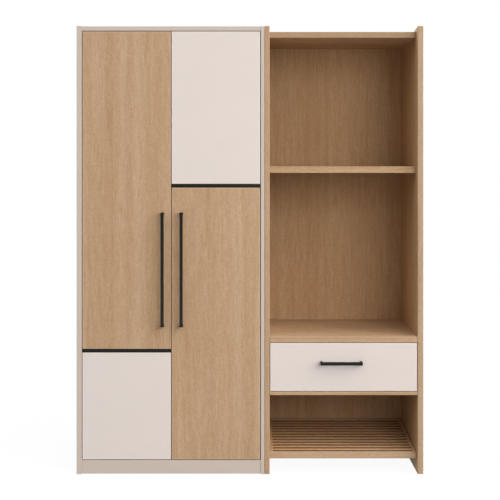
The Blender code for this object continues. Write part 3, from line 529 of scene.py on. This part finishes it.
def plated_steel(name, colour, roughness, along=Y):
    """Plated pressed steel with faint rolling marks."""
    material, tree, shader, place = new_material(name, roughness, metallic=1.0, specular=0.5)
    marks = stretched_noise(tree, place, along, (3, 1, 2), scale=1200, stretch=0.03)
    cloud = stretched_noise(tree, place, along, (1, 1, 4), scale=120)
    shown = mixed(tree, cloud, linear(colour, 0.86), linear(colour))
    coloured(tree, shader, shown, marks, strength=0.06, distance=0.0001)
    uneven(tree, shader, marks, roughness, spread=0.18)
    return material


def moulded_plastic(name, colour, roughness):
    """Moulded plastic with a fine texture."""
    material, tree, shader, place = new_material(name, roughness)
    grain = stretched_noise(tree, place, Z, (2, 2, 2), scale=1800)
    shown = mixed(tree, grain, linear(colour, 0.92), linear(colour))
    coloured(tree, shader, shown, grain, strength=0.12, distance=0.0001)
    return material


def white_floor(name, shown, bounce):
    """A floor that the camera sees as white with a soft shadow on it."""
    material = bpy.data.materials.new(name)
    material.use_nodes = True
    tree = material.node_tree
    tree.nodes.remove(tree.nodes["Principled BSDF"])
    place = add_node(tree, "ShaderNodeTexCoord").outputs["Object"]
    grain = stretched_noise(tree, place, Z, (0, 0, 0), scale=3)
    tint = mixed(tree, grain, grey(bounce), grey(bounce * FLOOR_GRAIN))
    matt = add_node(tree, "ShaderNodeBsdfDiffuse", inputs={"Color": tint})
    pale = add_node(tree, "ShaderNodeBsdfDiffuse", inputs={"Color": grey(FLOOR_SHADE)})
    glow = add_node(tree, "ShaderNodeEmission", inputs={"Color": WHITE, "Strength": 1.0})
    seen = mixed_shader(tree, shown, pale.outputs[0], glow.outputs[0])
    both = mixed_shader(tree, looked_at(tree), matt.outputs[0], seen)
    feed(tree, tree.nodes["Material Output"].inputs["Surface"], both)
    return material


# What a user would change

def seen_colour(title, words, colour):
    """A colour property, given as it looks on screen."""
    return FloatVectorProperty(
        name=title, description=words, subtype="COLOR_GAMMA", size=3, min=0, max=1, default=colour
    )


def length(title, words, value):
    """A length property in metres."""
    return FloatProperty(name=title, description=words, default=value, unit="LENGTH", precision=4)


def share(title, words, value):
    """A property from 0 to 1."""
    return FloatProperty(
        name=title, description=words, default=value, min=0, max=1, subtype="FACTOR"
    )


def strength(title, words, value, most=4):
    """The strength of a light."""
    return FloatProperty(name=title, description=words, default=value, min=0, max=most)


class WardrobeColours(bpy.types.PropertyGroup):
    """Colours and gloss of the boards and the metal."""

    oak_dark: seen_colour("Oak streaks", "Darkest tone of the oak decor", (0.672, 0.527, 0.386))
    oak_middle: seen_colour("Oak", "Middle tone of the oak decor", (0.724, 0.597, 0.468))
    oak_light: seen_colour("Oak lights", "Lightest tone of the oak decor", (0.776, 0.667, 0.550))
    oak_roughness: share("Oak roughness", "How matt the oak decor is", 0.50)
    taupe: seen_colour("Taupe", "Wardrobe carcass", (0.790, 0.730, 0.685))
    cream: seen_colour("Cream", "Plain door panels and drawer front", (0.872, 0.827, 0.800))
    white: seen_colour("White", "Wardrobe back and drawer box", (0.860, 0.850, 0.835))
    board_roughness: share("Board roughness", "How matt the plain boards are", 0.46)
    black: seen_colour("Black", "Handles and door strips", (0.118, 0.110, 0.100))
    steel: seen_colour("Steel", "Hinges, rail and runners", (0.800, 0.800, 0.810))


class WardrobeFittings(bpy.types.PropertyGroup):
    """Sizes of the small fittings that the scene adds."""

    round_sides: IntProperty(
        name="Round sides", description="Sides of a round fitting", default=40, min=12, max=96
    )
    screw_radius: length("Screw head radius", "Radius of a countersunk screw's head", 0.0036)
    screw_height: length("Screw head height", "How far a screw's head stands out", 0.0012)
    pan_radius: length("Pan head radius", "Radius of a handle screw's head", 0.0045)
    pan_height: length("Pan head height", "Height of a handle screw's head", 0.0024)
    cap_radius: length("Cap radius", "Radius of a connector's cap", 0.0080)
    pin_radius: length("Shelf pin radius", "Radius of a shelf pin", 0.0025)
    pin_reach: length("Shelf pin reach", "How far a shelf pin stands out of the side", 0.0100)
    cup_screw_spread: length("Cup screw spread", "From the cup's middle to a screw", 0.0240)
    cup_screw_shift: length("Cup screw shift", "From the cup's middle into the door", 0.0095)
    plate_screw_spread: length("Plate screw spread", "From the arm's middle to a screw", 0.0175)


class WardrobeStudio(bpy.types.PropertyGroup):
    """The camera and the lights."""

    camera_distance: length("Camera distance", "From the front of the carcass", 4.40)
    camera_height: length("Camera height", "Above the floor", 1.3186)
    picture_width: length("Picture width", "Width of the picture at the front plane", 2.11835)
    picture_middle: length("Picture middle", "Height of the picture's middle", 0.950)
    sky: strength("Sky", "Strength of the even light", 0.20, 5)
    lamps: strength("Lamps", "Multiplies every lamp's strength", 1.0)
    near: strength("Near lamp", "Strength of the tall lamp in front of the open shelves", 0.274)
    lamp_width: FloatProperty(
        name="Lamp width", description="How wide each lamp looks from the object",
        default=math.radians(50), min=0, max=math.pi, subtype="ANGLE", unit="ROTATION",
    )
    floor_shown: share("Floor whiteness", "How much of the floor's shadow is hidden", 0.945)
    floor_bounce: share("Floor bounce", "How much light the floor returns", 0.25)


# Board finishes

def coat(node, material):
    """Puts a material on a CAD node."""
    NODES[node].material_slots[0].material = material


class WARDROBE_OT_boards(bpy.types.Operator):
    """Puts the oak, taupe, cream and white finishes on the boards"""

    bl_idname = "wardrobe.boards"
    bl_label = "Finish Boards"

    def execute(self, context):
        colours = context.scene.wardrobe_colours
        for along, nodes, steps, start in OAK_BOARDS:
            for index, node in enumerate(nodes):
                shift = tuple(index * step + first for step, first in zip(steps, start))
                coat(node, oak_finish(node, along, shift, colours))
        for name, nodes in PLAIN_BOARDS:
            for index, node in enumerate(nodes):
                shift = tuple(index * step for step in PLAIN_STEPS)
                coat(node, melamine_finish(
                    node, getattr(colours, name), colours.board_roughness, shift, name == "cream"
                ))
        return {"FINISHED"}


# Handles and door strips

# The panel that each handle is screwed through, by the body that both ride on
HANDLE_PANELS = {
    "left_door": "left_door_lower_panel", "right_door": "right_door_lower_panel",
    "drawer": "drawer_front",
}
# How far the edges of the handles and of the strips are rounded
HANDLE_EDGE = 0.0005
STRIP_EDGE = 0.0002
# The raised line on a strip: half its height, how far it stands out and how deep it starts
RIB_HALF = 0.0012
RIB_PROUD = 0.0006
RIB_ROOT = 0.0010
# A screw's cross: how far its arms reach and half their width, in head radii, and where its
# floor and the top of its cutter lie, in head heights
CROSS_REACH = 0.62
CROSS_HALF = 0.14
CROSS_FLOOR = 0.35
CROSS_TOP = 2


def screw_head(radius, height, sides, rounding, segments):
    """A screw's head with a rounded rim and a cross, standing on the origin."""
    head = disc(radius, height, sides)
    open_edit(head)
    faces_towards(head, (0, 0, 1))
    bpy.ops.mesh.bevel(offset=height * rounding, segments=segments, affect="EDGES")
    close_edit()
    arm, half = radius * CROSS_REACH, radius * CROSS_HALF
    for x, y in ((arm, half), (half, arm)):
        combine(head, block((-x, -y, height * CROSS_FLOOR), (x, y, height * CROSS_TOP)))
    bpy.ops.object.shade_smooth_by_angle(angle=SHARP_ROUND)
    return head


def pan_screw(fittings):
    """A pan-head screw's head."""
    return screw_head(
        fittings.pan_radius, fittings.pan_height, fittings.round_sides, rounding=0.55, segments=4
    )


def flat_screw(fittings, radius):
    """A countersunk screw's head, which stands a little proud."""
    return screw_head(
        radius, fittings.screw_height, fittings.round_sides, rounding=0.3, segments=2
    )


class WARDROBE_OT_handles(bpy.types.Operator):
    """Makes the two door handles and the drawer handle, with their screws"""

    bl_idname = "wardrobe.handles"
    bl_label = "Add Handles"

    def execute(self, context):
        colours, fittings = context.scene.wardrobe_colours, context.scene.wardrobe_fittings
        black = powder_coat("handle_powder_coat", colours.black, roughness=0.42)
        steel = plated_steel("handle_screw_steel", colours.steel, roughness=0.30)
        screw = pan_screw(fittings)
        for body, panel in HANDLE_PANELS.items():
            node = f"{body}_handle"
            stand_in(node, f"{body}_bow_handle", HANDLE_EDGE, body, black)
            low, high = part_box(node)
            along, across = (X, Z) if body == "drawer" else (Z, X)
            inset = (high[across] - low[across]) / 2
            heads = []
            for end in (low[along] + inset, high[along] - inset):
                place = (low + high) / 2
                place[along] = end
                place.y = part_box(panel)[1].y + TOUCH
                heads.append(copied(screw, place, (-QUARTER, 0, 0)))
            belong(joined(f"{body}_handle_screws", heads), body, steel)
        remove(screw)
        return {"FINISHED"}


class WARDROBE_OT_strips(bpy.types.Operator):
    """Makes the dark strips between the door panels, with a raised line along each"""

    bl_idname = "wardrobe.strips"
    bl_label = "Add Door Strips"

    def execute(self, context):
        colours = context.scene.wardrobe_colours
        black = powder_coat("strip_coat", colours.black, roughness=0.38)
        for side in SIDES:
            node = f"{side}_door_strip"
            strip = refined(node, f"{side}_door_t_strip", STRIP_EDGE, segments=1)
            low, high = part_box(node)
            middle = (low.z + high.z) / 2
            rib = block(
                (low.x + TOUCH, low.y - RIB_PROUD, middle - RIB_HALF),
                (high.x - TOUCH, low.y + RIB_ROOT, middle + RIB_HALF),
            )
            combine(strip, rib, "UNION")
            belong(strip, f"{side}_door", black, (node,))
        return {"FINISHED"}


# Hinges

# The cup: its bowl's radius, how far the ring stands out round it, the bowl's wall, the
# thickness of floor, ring and flange, how much smaller their hole is than the bowl, where the
# flange starts beside the cup's middle, and how round its corners are
CUP_RADIUS = 0.0175
CUP_RING = 0.0015
CUP_WALL = 0.0008
CUP_SHEET = 0.0010
CUP_HOLE = 0.0007
FLANGE_START = 0.0005
FLANGE_CORNER = 0.0055
# The pin across the bowl: its radius, its length, its place from the cup's middle, and its sides
PIN_RADIUS = 0.0010
PIN_LENGTH = 0.0250
PIN_X = -0.0115
PIN_LEVEL = 0.0024
PIN_SIDES = 16
# How far the edges of the arms and of the links are rounded
ARM_EDGE = 0.0004
LINK_EDGE = 0.0003
# The screws of a plate and of its arm: their faces' distance from the wardrobe's side, how far
# they lie in front of the arm's rear end, and how large they are beside the other screws
PLATE_FACE = 0.0016
PLATE_SCREW_BACK = 0.021
ARM_FACE = 0.0167
ARM_SCREWS_BACK = (0.009, 0.031)
ARM_SCREW_SCALE = 0.85


def hinge_cup(sides, depth, reach, half):
    """A hinge cup about the origin: a drawn bowl, its ring, a flange and the pin across it."""
    flange_floor = depth - CUP_SHEET
    bowl = disc(CUP_RADIUS, depth, sides)
    open_edit(bowl)
    faces_towards(bowl, (0, 0, 1))
    bpy.ops.mesh.inset(thickness=CUP_WALL)
    bpy.ops.mesh.extrude_region_move(TRANSFORM_OT_translate={"value": (0, 0, -flange_floor)})
    close_edit()
    ring = disc(CUP_RADIUS + CUP_RING, CUP_SHEET, sides, (0, 0, flange_floor))
    flange = block((FLANGE_START, -half, flange_floor), (reach, half, depth))
    open_edit(flange, "EDGE")
    choose(
        flange, "edges",
        lambda edge: abs((edge.verts[0].co - edge.verts[1].co).normalized().z) > ALIGNED,
    )
    bpy.ops.mesh.bevel(offset=FLANGE_CORNER, segments=6, affect="EDGES")
    close_edit()
    for piece in (ring, flange):
        start = (0, 0, flange_floor - CUP_SHEET)
        combine(piece, disc(CUP_RADIUS - CUP_HOLE, 4 * CUP_SHEET, sides, start))
    combine(ring, flange, "UNION")
    combine(bowl, ring, "UNION")
    pin = disc(
        PIN_RADIUS, PIN_LENGTH, PIN_SIDES, (PIN_X, -PIN_LENGTH / 2, PIN_LEVEL), (-QUARTER, 0, 0)
    )
    combine(bowl, pin, "UNION")
    bpy.ops.object.shade_smooth_by_angle(angle=SHARP_ROUND)
    return bowl


class WARDROBE_OT_hinges(bpy.types.Operator):
    """Makes the concealed hinges: cups, arms, links and their screws"""

    bl_idname = "wardrobe.hinges"
    bl_label = "Add Hinges"

    def execute(self, context):
        colours, fittings = context.scene.wardrobe_colours, context.scene.wardrobe_fittings
        steel = plated_steel("hinge_nickel", colours.steel, roughness=0.28, along=Z)
        dark = plated_steel("hinge_screw_steel", colours.steel, roughness=0.34)
        low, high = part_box("left_hinge_cup_lower")
        reach = high.x - (low.x + CUP_RING + CUP_RADIUS)
        half = (high.z - low.z) / 2
        master = hinge_cup(fittings.round_sides, high.y - low.y, reach, half)
        screw = flat_screw(fittings, fittings.screw_radius)
        small = flat_screw(fittings, fittings.screw_radius * ARM_SCREW_SCALE)
        for side in SIDES:
            heads, adjusters = [], []
            for height in HEIGHTS:
                node = f"{side}_hinge_cup_{height}"
                low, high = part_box(node)
                level = (low.z + high.z) / 2
                start, way = near_face(node, side)
                middle = start + way * CUP_RING + way * CUP_RADIUS
                cup = copied(master, (middle, low.y, level), (-QUARTER, 0, 0), side == "right")
                settle(cup, f"{side}_{height}_cup")
                belong(cup, f"{side}_door", steel, (node,))
                for up in (-1, 1):
                    place = (
                        middle + way * fittings.cup_screw_shift, high.y,
                        level + up * fittings.cup_screw_spread,
                    )
                    heads.append(copied(screw, place, (-QUARTER, 0, 0)))

                node = f"{side}_hinge_arm_{height}"
                stand_in(node, f"{side}_{height}_arm", ARM_EDGE, "carcass", steel)
                foot, way = near_face(node, side)
                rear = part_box(node)[1].y
                places = [
                    (PLATE_FACE, PLATE_SCREW_BACK, up * fittings.plate_screw_spread)
                    for up in (-1, 1)
                ] + [(ARM_FACE, back, 0) for back in ARM_SCREWS_BACK]
                for face, back, rise in places:
                    place = (foot + way * face, rear - back, level + rise)
                    adjusters.append(copied(small, place, (0, way * QUARTER, 0)))

                node = f"{side}_hinge_link_{height}"
                stand_in(
                    node, f"{side}_{height}_link", LINK_EDGE, f"{side}_hinge_links", steel
                )
            belong(joined(f"{side}_cup_screws", heads), f"{side}_door", dark)
            belong(joined(f"{side}_arm_screws", adjusters), "carcass", dark)
        remove(master, screw, small)
        return {"FINISHED"}


# Wardrobe interior

# The rail's sides, its wall and how deep its ends are open. Its sockets: the rounding of their
# edges, their face's distance from the wardrobe's side, how far their screws lie from their top
# and bottom, and how large the screws are beside the others
RAIL_SIDES = 48
RAIL_WALL = 0.0012
RAIL_OPEN = 0.02
SOCKET_EDGE = 0.0004
SOCKET_FACE = 0.0017
SOCKET_SCREW_INSET = 0.0034
SOCKET_SCREW_SCALE = 0.7
# A shelf pin: its sides, its collar's radius in pin radii, its collar's thickness, its tongue's
# start, half width and thickness, and the rounding of its edges
SHELF_PIN_SIDES = 24
COLLAR_SCALE = 1.5
COLLAR_SHEET = 0.0012
TONGUE_START = 0.0006
TONGUE_HALF = 0.0045
TONGUE_SHEET = 0.0008
SHELF_PIN_EDGE = 0.0002
# Where the pins, caps and bolts sit: from the shelf's front and rear edges, from the inner
# sides, from the right side's front and rear edges, and above the floor
PIN_INSET = 0.060
CAP_INSET = 0.034
CAP_FRONT, CAP_BACK = 0.050, 0.080
BOLT_FRONT, BOLT_BACK = 0.140, 0.060
BOLT_LEVELS = (0.240, 1.740)


class WARDROBE_OT_hanging_rail(bpy.types.Operator):
    """Makes the oval hanging rail and its two sockets"""

    bl_idname = "wardrobe.hanging_rail"
    bl_label = "Add Hanging Rail"

    def execute(self, context):
        colours, fittings = context.scene.wardrobe_colours, context.scene.wardrobe_fittings
        steel = plated_steel("rail_chrome", colours.steel, roughness=0.16, along=X)
        low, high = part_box("hanging_rail")
        radius = (high.y - low.y) / 2
        stretch = (high.z - low.z) / 2 - radius
        middle = (low + high) / 2
        start = (low.x, middle.y, middle.z)
        tube = disc(radius, high.x - low.x, RAIL_SIDES, start, (0, QUARTER, 0))
        open_edit(tube, "VERT")
        for way in (1, -1):
            choose(tube, "verts", lambda vert: way * (vert.co.z - middle.z) > MERGE)
            bpy.ops.transform.translate(value=(0, 0, way * stretch))
        bpy.ops.mesh.select_mode(type="FACE")
        for way in (-1, 1):
            faces_towards(tube, (way, 0, 0))
            bpy.ops.mesh.inset(thickness=RAIL_WALL)
            bpy.ops.mesh.extrude_region_move(
                TRANSFORM_OT_translate={"value": (-way * RAIL_OPEN, 0, 0)}
            )
        close_edit()
        bpy.ops.object.shade_smooth_by_angle(angle=SHARP_ROUND)
        belong(settle(tube, "oval_rail"), "carcass", steel, ("hanging_rail",))
        screw = flat_screw(fittings, fittings.screw_radius * SOCKET_SCREW_SCALE)
        heads = []
        for side in SIDES:
            node = f"rail_socket_{side}"
            stand_in(node, f"{side}_rail_cup", SOCKET_EDGE, "carcass", steel)
            low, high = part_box(node)
            start, way = near_face(node, side)
            for z in (low.z + SOCKET_SCREW_INSET, high.z - SOCKET_SCREW_INSET):
                place = (start + way * SOCKET_FACE, (low.y + high.y) / 2, z)
                heads.append(copied(screw, place, (0, way * QUARTER, 0)))
        belong(joined("rail_screws", heads), "carcass", steel)
        remove(screw)
        return {"FINISHED"}


def shelf_pin(fittings):
    """A shelf pin with a collar and a flat tongue, pointing along +X from the origin."""
    radius, reach, turn = fittings.pin_radius, fittings.pin_reach, (0, QUARTER, 0)
    pin = disc(radius, reach, SHELF_PIN_SIDES, turn=turn)
    collar = disc(radius * COLLAR_SCALE, COLLAR_SHEET, SHELF_PIN_SIDES, turn=turn)
    combine(pin, collar, "UNION")
    tongue = block(
        (TONGUE_START, -TONGUE_HALF, radius - TONGUE_SHEET), (reach, TONGUE_HALF, radius)
    )
    combine(pin, tongue, "UNION")
    soften(pin, SHELF_PIN_EDGE, segments=1)
    return pin


class WARDROBE_OT_inside_fittings(bpy.types.Operator):
    """Makes the hat shelf's pins, the connector caps and the bolts between the units"""

    bl_idname = "wardrobe.inside_fittings"
    bl_label = "Add Inside Fittings"

    def execute(self, context):
        colours, fittings = context.scene.wardrobe_colours, context.scene.wardrobe_fittings
        steel = plated_steel("pin_steel", colours.steel, roughness=0.26)
        plastic = moulded_plastic("cap_plastic", colours.taupe, roughness=0.42)
        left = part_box("wardrobe_left_side")[1].x
        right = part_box("wardrobe_right_side")[0].x
        shelf_low, shelf_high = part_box("hat_shelf")

        pin = shelf_pin(fittings)
        level = shelf_low.z - fittings.pin_radius - TOUCH
        pins = []
        for y in (shelf_low.y + PIN_INSET, shelf_high.y - PIN_INSET):
            pins.append(copied(pin, (left, y, level)))
            pins.append(copied(pin, (right, y, level), (0, 0, math.pi)))
        belong(joined("hat_shelf_pins", pins), "carcass", steel)

        cap = flat_screw(fittings, fittings.cap_radius)
        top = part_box("wardrobe_top")[0].z
        caps = [
            copied(cap, (x, y, top), (math.pi, 0, 0))
            for x in (left + CAP_INSET, right - CAP_INSET)
            for y in (shelf_low.y - CAP_FRONT, shelf_high.y - CAP_BACK)
        ]
        belong(joined("connector_caps", caps), "carcass", plastic)

        bolt = pan_screw(fittings)
        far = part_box("shelf_unit_left_side")[1].x
        front, back = (corner.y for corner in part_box("wardrobe_right_side"))
        bolts = []
        for y in (front + BOLT_FRONT, back - BOLT_BACK):
            for z in BOLT_LEVELS:
                bolts.append(copied(bolt, (right, y, z), (0, -QUARTER, 0)))
                bolts.append(copied(bolt, (far, y, z), (0, QUARTER, 0)))
        belong(joined("unit_bolt_heads", bolts), "carcass", steel)
        remove(pin, cap, bolt)
        return {"FINISHED"}


# Drawer

# The body that each member of a runner rides on, and how far the members' edges are rounded
RUNNER_BODIES = {"cabinet": "carcass", "middle": "runner_middles", "drawer": "drawer"}
RUNNER_EDGE = 0.0003
# The stop in the middle member's front end: its distance from the sheet on both sides, from the
# member's top and bottom, how far it stands out in front and how far it reaches in, its edges
STOP_SIDE = 0.0016
STOP_TOP = 0.0050
STOP_FRONT = 0.0020
STOP_REACH = 0.0060
STOP_EDGE = 0.0006


class WARDROBE_OT_runners(bpy.types.Operator):
    """Makes the telescopic runners with their stops"""

    bl_idname = "wardrobe.runners"
    bl_label = "Add Drawer Runners"

    def execute(self, context):
        colours = context.scene.wardrobe_colours
        steel = plated_steel("runner_zinc", colours.steel, roughness=0.30)
        black = moulded_plastic("stop_plastic", colours.black, roughness=0.5)
        for side in SIDES:
            for member, body in RUNNER_BODIES.items():
                node = f"{side}_runner_{member}_member"
                stand_in(node, f"{side}_{member}_channel", RUNNER_EDGE, body, steel)
            low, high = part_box(f"{side}_runner_middle_member")
            stop = block(
                (low.x + STOP_SIDE, low.y - STOP_FRONT, low.z + STOP_TOP),
                (high.x - STOP_SIDE, low.y + STOP_REACH, high.z - STOP_TOP),
            )
            soften(stop, STOP_EDGE, segments=3)
            settle(stop, f"{side}_runner_stop")
            belong(stop, "runner_middles", black)
        return {"FINISHED"}


# Studio

# Each lamp's name, degrees to the right of the front, degrees up, and strength. At a strength
# of 1 a lamp that faces a surface shows its colour as written.
LAMPS = (
    ("right_lamp", 75, 20, 0.625),
    ("right_high_lamp", 55, 48, 0.33),
    ("right_front_lamp", 46, 26, 0.125),
    ("top_lamp", 0, 74, 0.19),
    ("left_front_lamp", -20, 25, 0.065),
    ("left_high_lamp", -52, 42, 0.035),
    ("left_lamp", -85, 25, 0.30),
    ("rear_right_lamp", 145, 16, 0.38),
    ("rear_left_lamp", -145, 16, 0.38),
)
# Where the far lamps hang, which has no effect on their light
LAMP_DISTANCE = 4
# The near lamp: to the right of the middle, in front of the carcass, above the floor; the point
# that it faces; its width and height
NEAR_RIGHT, NEAR_FRONT, NEAR_UP = 1.9, 4.1, 2.20
NEAR_AIM = (0.1, 0.1, 0.95)
NEAR_WIDTH, NEAR_HEIGHT = 1.9, 2.4
# The camera's sensor in millimetres
SENSOR = 36.0
FLOOR_SIZE = 24.0


def hang_lamp(name, data, place, way):
    """Puts a lamp at a place, shining away from a direction."""
    lamp = bpy.data.objects.new(name, data)
    lamp.location = place
    lamp.rotation_euler = way.to_track_quat("Z", "Y").to_euler()
    bpy.context.scene.collection.objects.link(lamp)


def soft_lamp(name, azimuth, elevation, power, spread):
    """A soft lamp far away in one direction."""
    around, up = math.radians(azimuth), math.radians(elevation)
    way = Vector((
        math.sin(around) * math.cos(up), -math.cos(around) * math.cos(up), math.sin(up)
    ))
    data = bpy.data.lights.new(name, "SUN")
    data.energy, data.angle = power * math.pi, spread
    hang_lamp(name, data, way * LAMP_DISTANCE, way)


def near_lamp(front, power):
    """The tall lamp in front of the open shelves."""
    place = Vector((NEAR_RIGHT, front - NEAR_FRONT, NEAR_UP))
    way = place - Vector(NEAR_AIM)
    data = bpy.data.lights.new("near_lamp", "AREA")
    data.shape, data.size, data.size_y = "RECTANGLE", NEAR_WIDTH, NEAR_HEIGHT
    data.energy = power * math.pi ** 2 * way.length_squared
    hang_lamp("near_lamp", data, place, way)


def white_room(sky):
    """A world that lights the object evenly and is seen as white."""
    world = bpy.data.worlds.new("white_room")
    world.use_nodes = True
    tree = world.node_tree
    light = tree.nodes["Background"]
    light.inputs["Color"].default_value = WHITE
    light.inputs["Strength"].default_value = sky
    shown = add_node(tree, "ShaderNodeBackground", inputs={"Color": WHITE, "Strength": 1.0})
    both = mixed_shader(tree, looked_at(tree), light.outputs[0], shown.outputs[0])
    feed(tree, tree.nodes["World Output"].inputs["Surface"], both)
    return world


def front_camera(studio, front):
    """A level camera in front of the object, with a shift that puts all of it in the frame."""
    data = bpy.data.cameras.new("front_camera")
    data.sensor_width = SENSOR
    data.lens = SENSOR * studio.camera_distance / studio.picture_width
    data.shift_y = (studio.picture_middle - studio.camera_height) / studio.picture_width
    camera = bpy.data.objects.new("front_camera", data)
    camera.location = (0, front - studio.camera_distance, studio.camera_height)
    camera.rotation_euler = (QUARTER, 0, 0)
    bpy.context.scene.collection.objects.link(camera)
    return camera


class WARDROBE_OT_studio(bpy.types.Operator):
    """Sets up the camera, the lamps, the even light and the white floor"""

    bl_idname = "wardrobe.studio"
    bl_label = "Set Up Studio"

    def execute(self, context):
        scene = context.scene
        studio = scene.wardrobe_studio
        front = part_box("wardrobe_left_side")[0].y
        scene.view_settings.view_transform = "Standard"
        scene.camera = front_camera(studio, front)
        scene.world = white_room(studio.sky)
        for name, azimuth, elevation, power in LAMPS:
            soft_lamp(name, azimuth, elevation, power * studio.lamps, studio.lamp_width)
        near_lamp(front, studio.near * studio.lamps)

        bpy.ops.mesh.primitive_plane_add(size=FLOOR_SIZE, location=(0, 0, 0))
        floor = context.active_object
        floor.name = "studio_floor"
        floor.data.materials.append(
            white_floor("floor_white", studio.floor_shown, studio.floor_bounce)
        )
        return {"FINISHED"}


# Panel and registration

GROUPS = {
    "wardrobe_colours": WardrobeColours,
    "wardrobe_fittings": WardrobeFittings,
    "wardrobe_studio": WardrobeStudio,
}
OPERATORS = (
    WARDROBE_OT_boards, WARDROBE_OT_handles, WARDROBE_OT_strips, WARDROBE_OT_hinges,
    WARDROBE_OT_hanging_rail, WARDROBE_OT_inside_fittings, WARDROBE_OT_runners,
    WARDROBE_OT_studio,
)


class WARDROBE_PT_panel(bpy.types.Panel):
    """The wardrobe's finishes and fittings in the sidebar"""

    bl_label = "Wardrobe"
    bl_idname = "WARDROBE_PT_panel"
    bl_space_type = "VIEW_3D"
    bl_region_type = "UI"
    bl_category = "Wardrobe"

    def draw(self, context):
        layout = self.layout
        for name, group in GROUPS.items():
            box = layout.box()
            for key in group.__annotations__:
                box.prop(getattr(context.scene, name), key)
        for operator in OPERATORS:
            layout.operator(operator.bl_idname)


def register():
    """Registers the property groups, the operators and the panel."""
    for name, group in GROUPS.items():
        bpy.utils.register_class(group)
        setattr(bpy.types.Scene, name, PointerProperty(type=group))
    for operator in OPERATORS:
        bpy.utils.register_class(operator)
    bpy.utils.register_class(WARDROBE_PT_panel)


def unregister():
    """Takes them all off again."""
    bpy.utils.unregister_class(WARDROBE_PT_panel)
    for operator in reversed(OPERATORS):
        bpy.utils.unregister_class(operator)
    for name, group in reversed(GROUPS.items()):
        delattr(bpy.types.Scene, name)
        bpy.utils.unregister_class(group)


def main():
    """Dresses the model."""
    register()
    for operator in OPERATORS:
        group, name = operator.bl_idname.split(".")
        getattr(getattr(bpy.ops, group), name)()


if __name__ == "__main__":
    main()
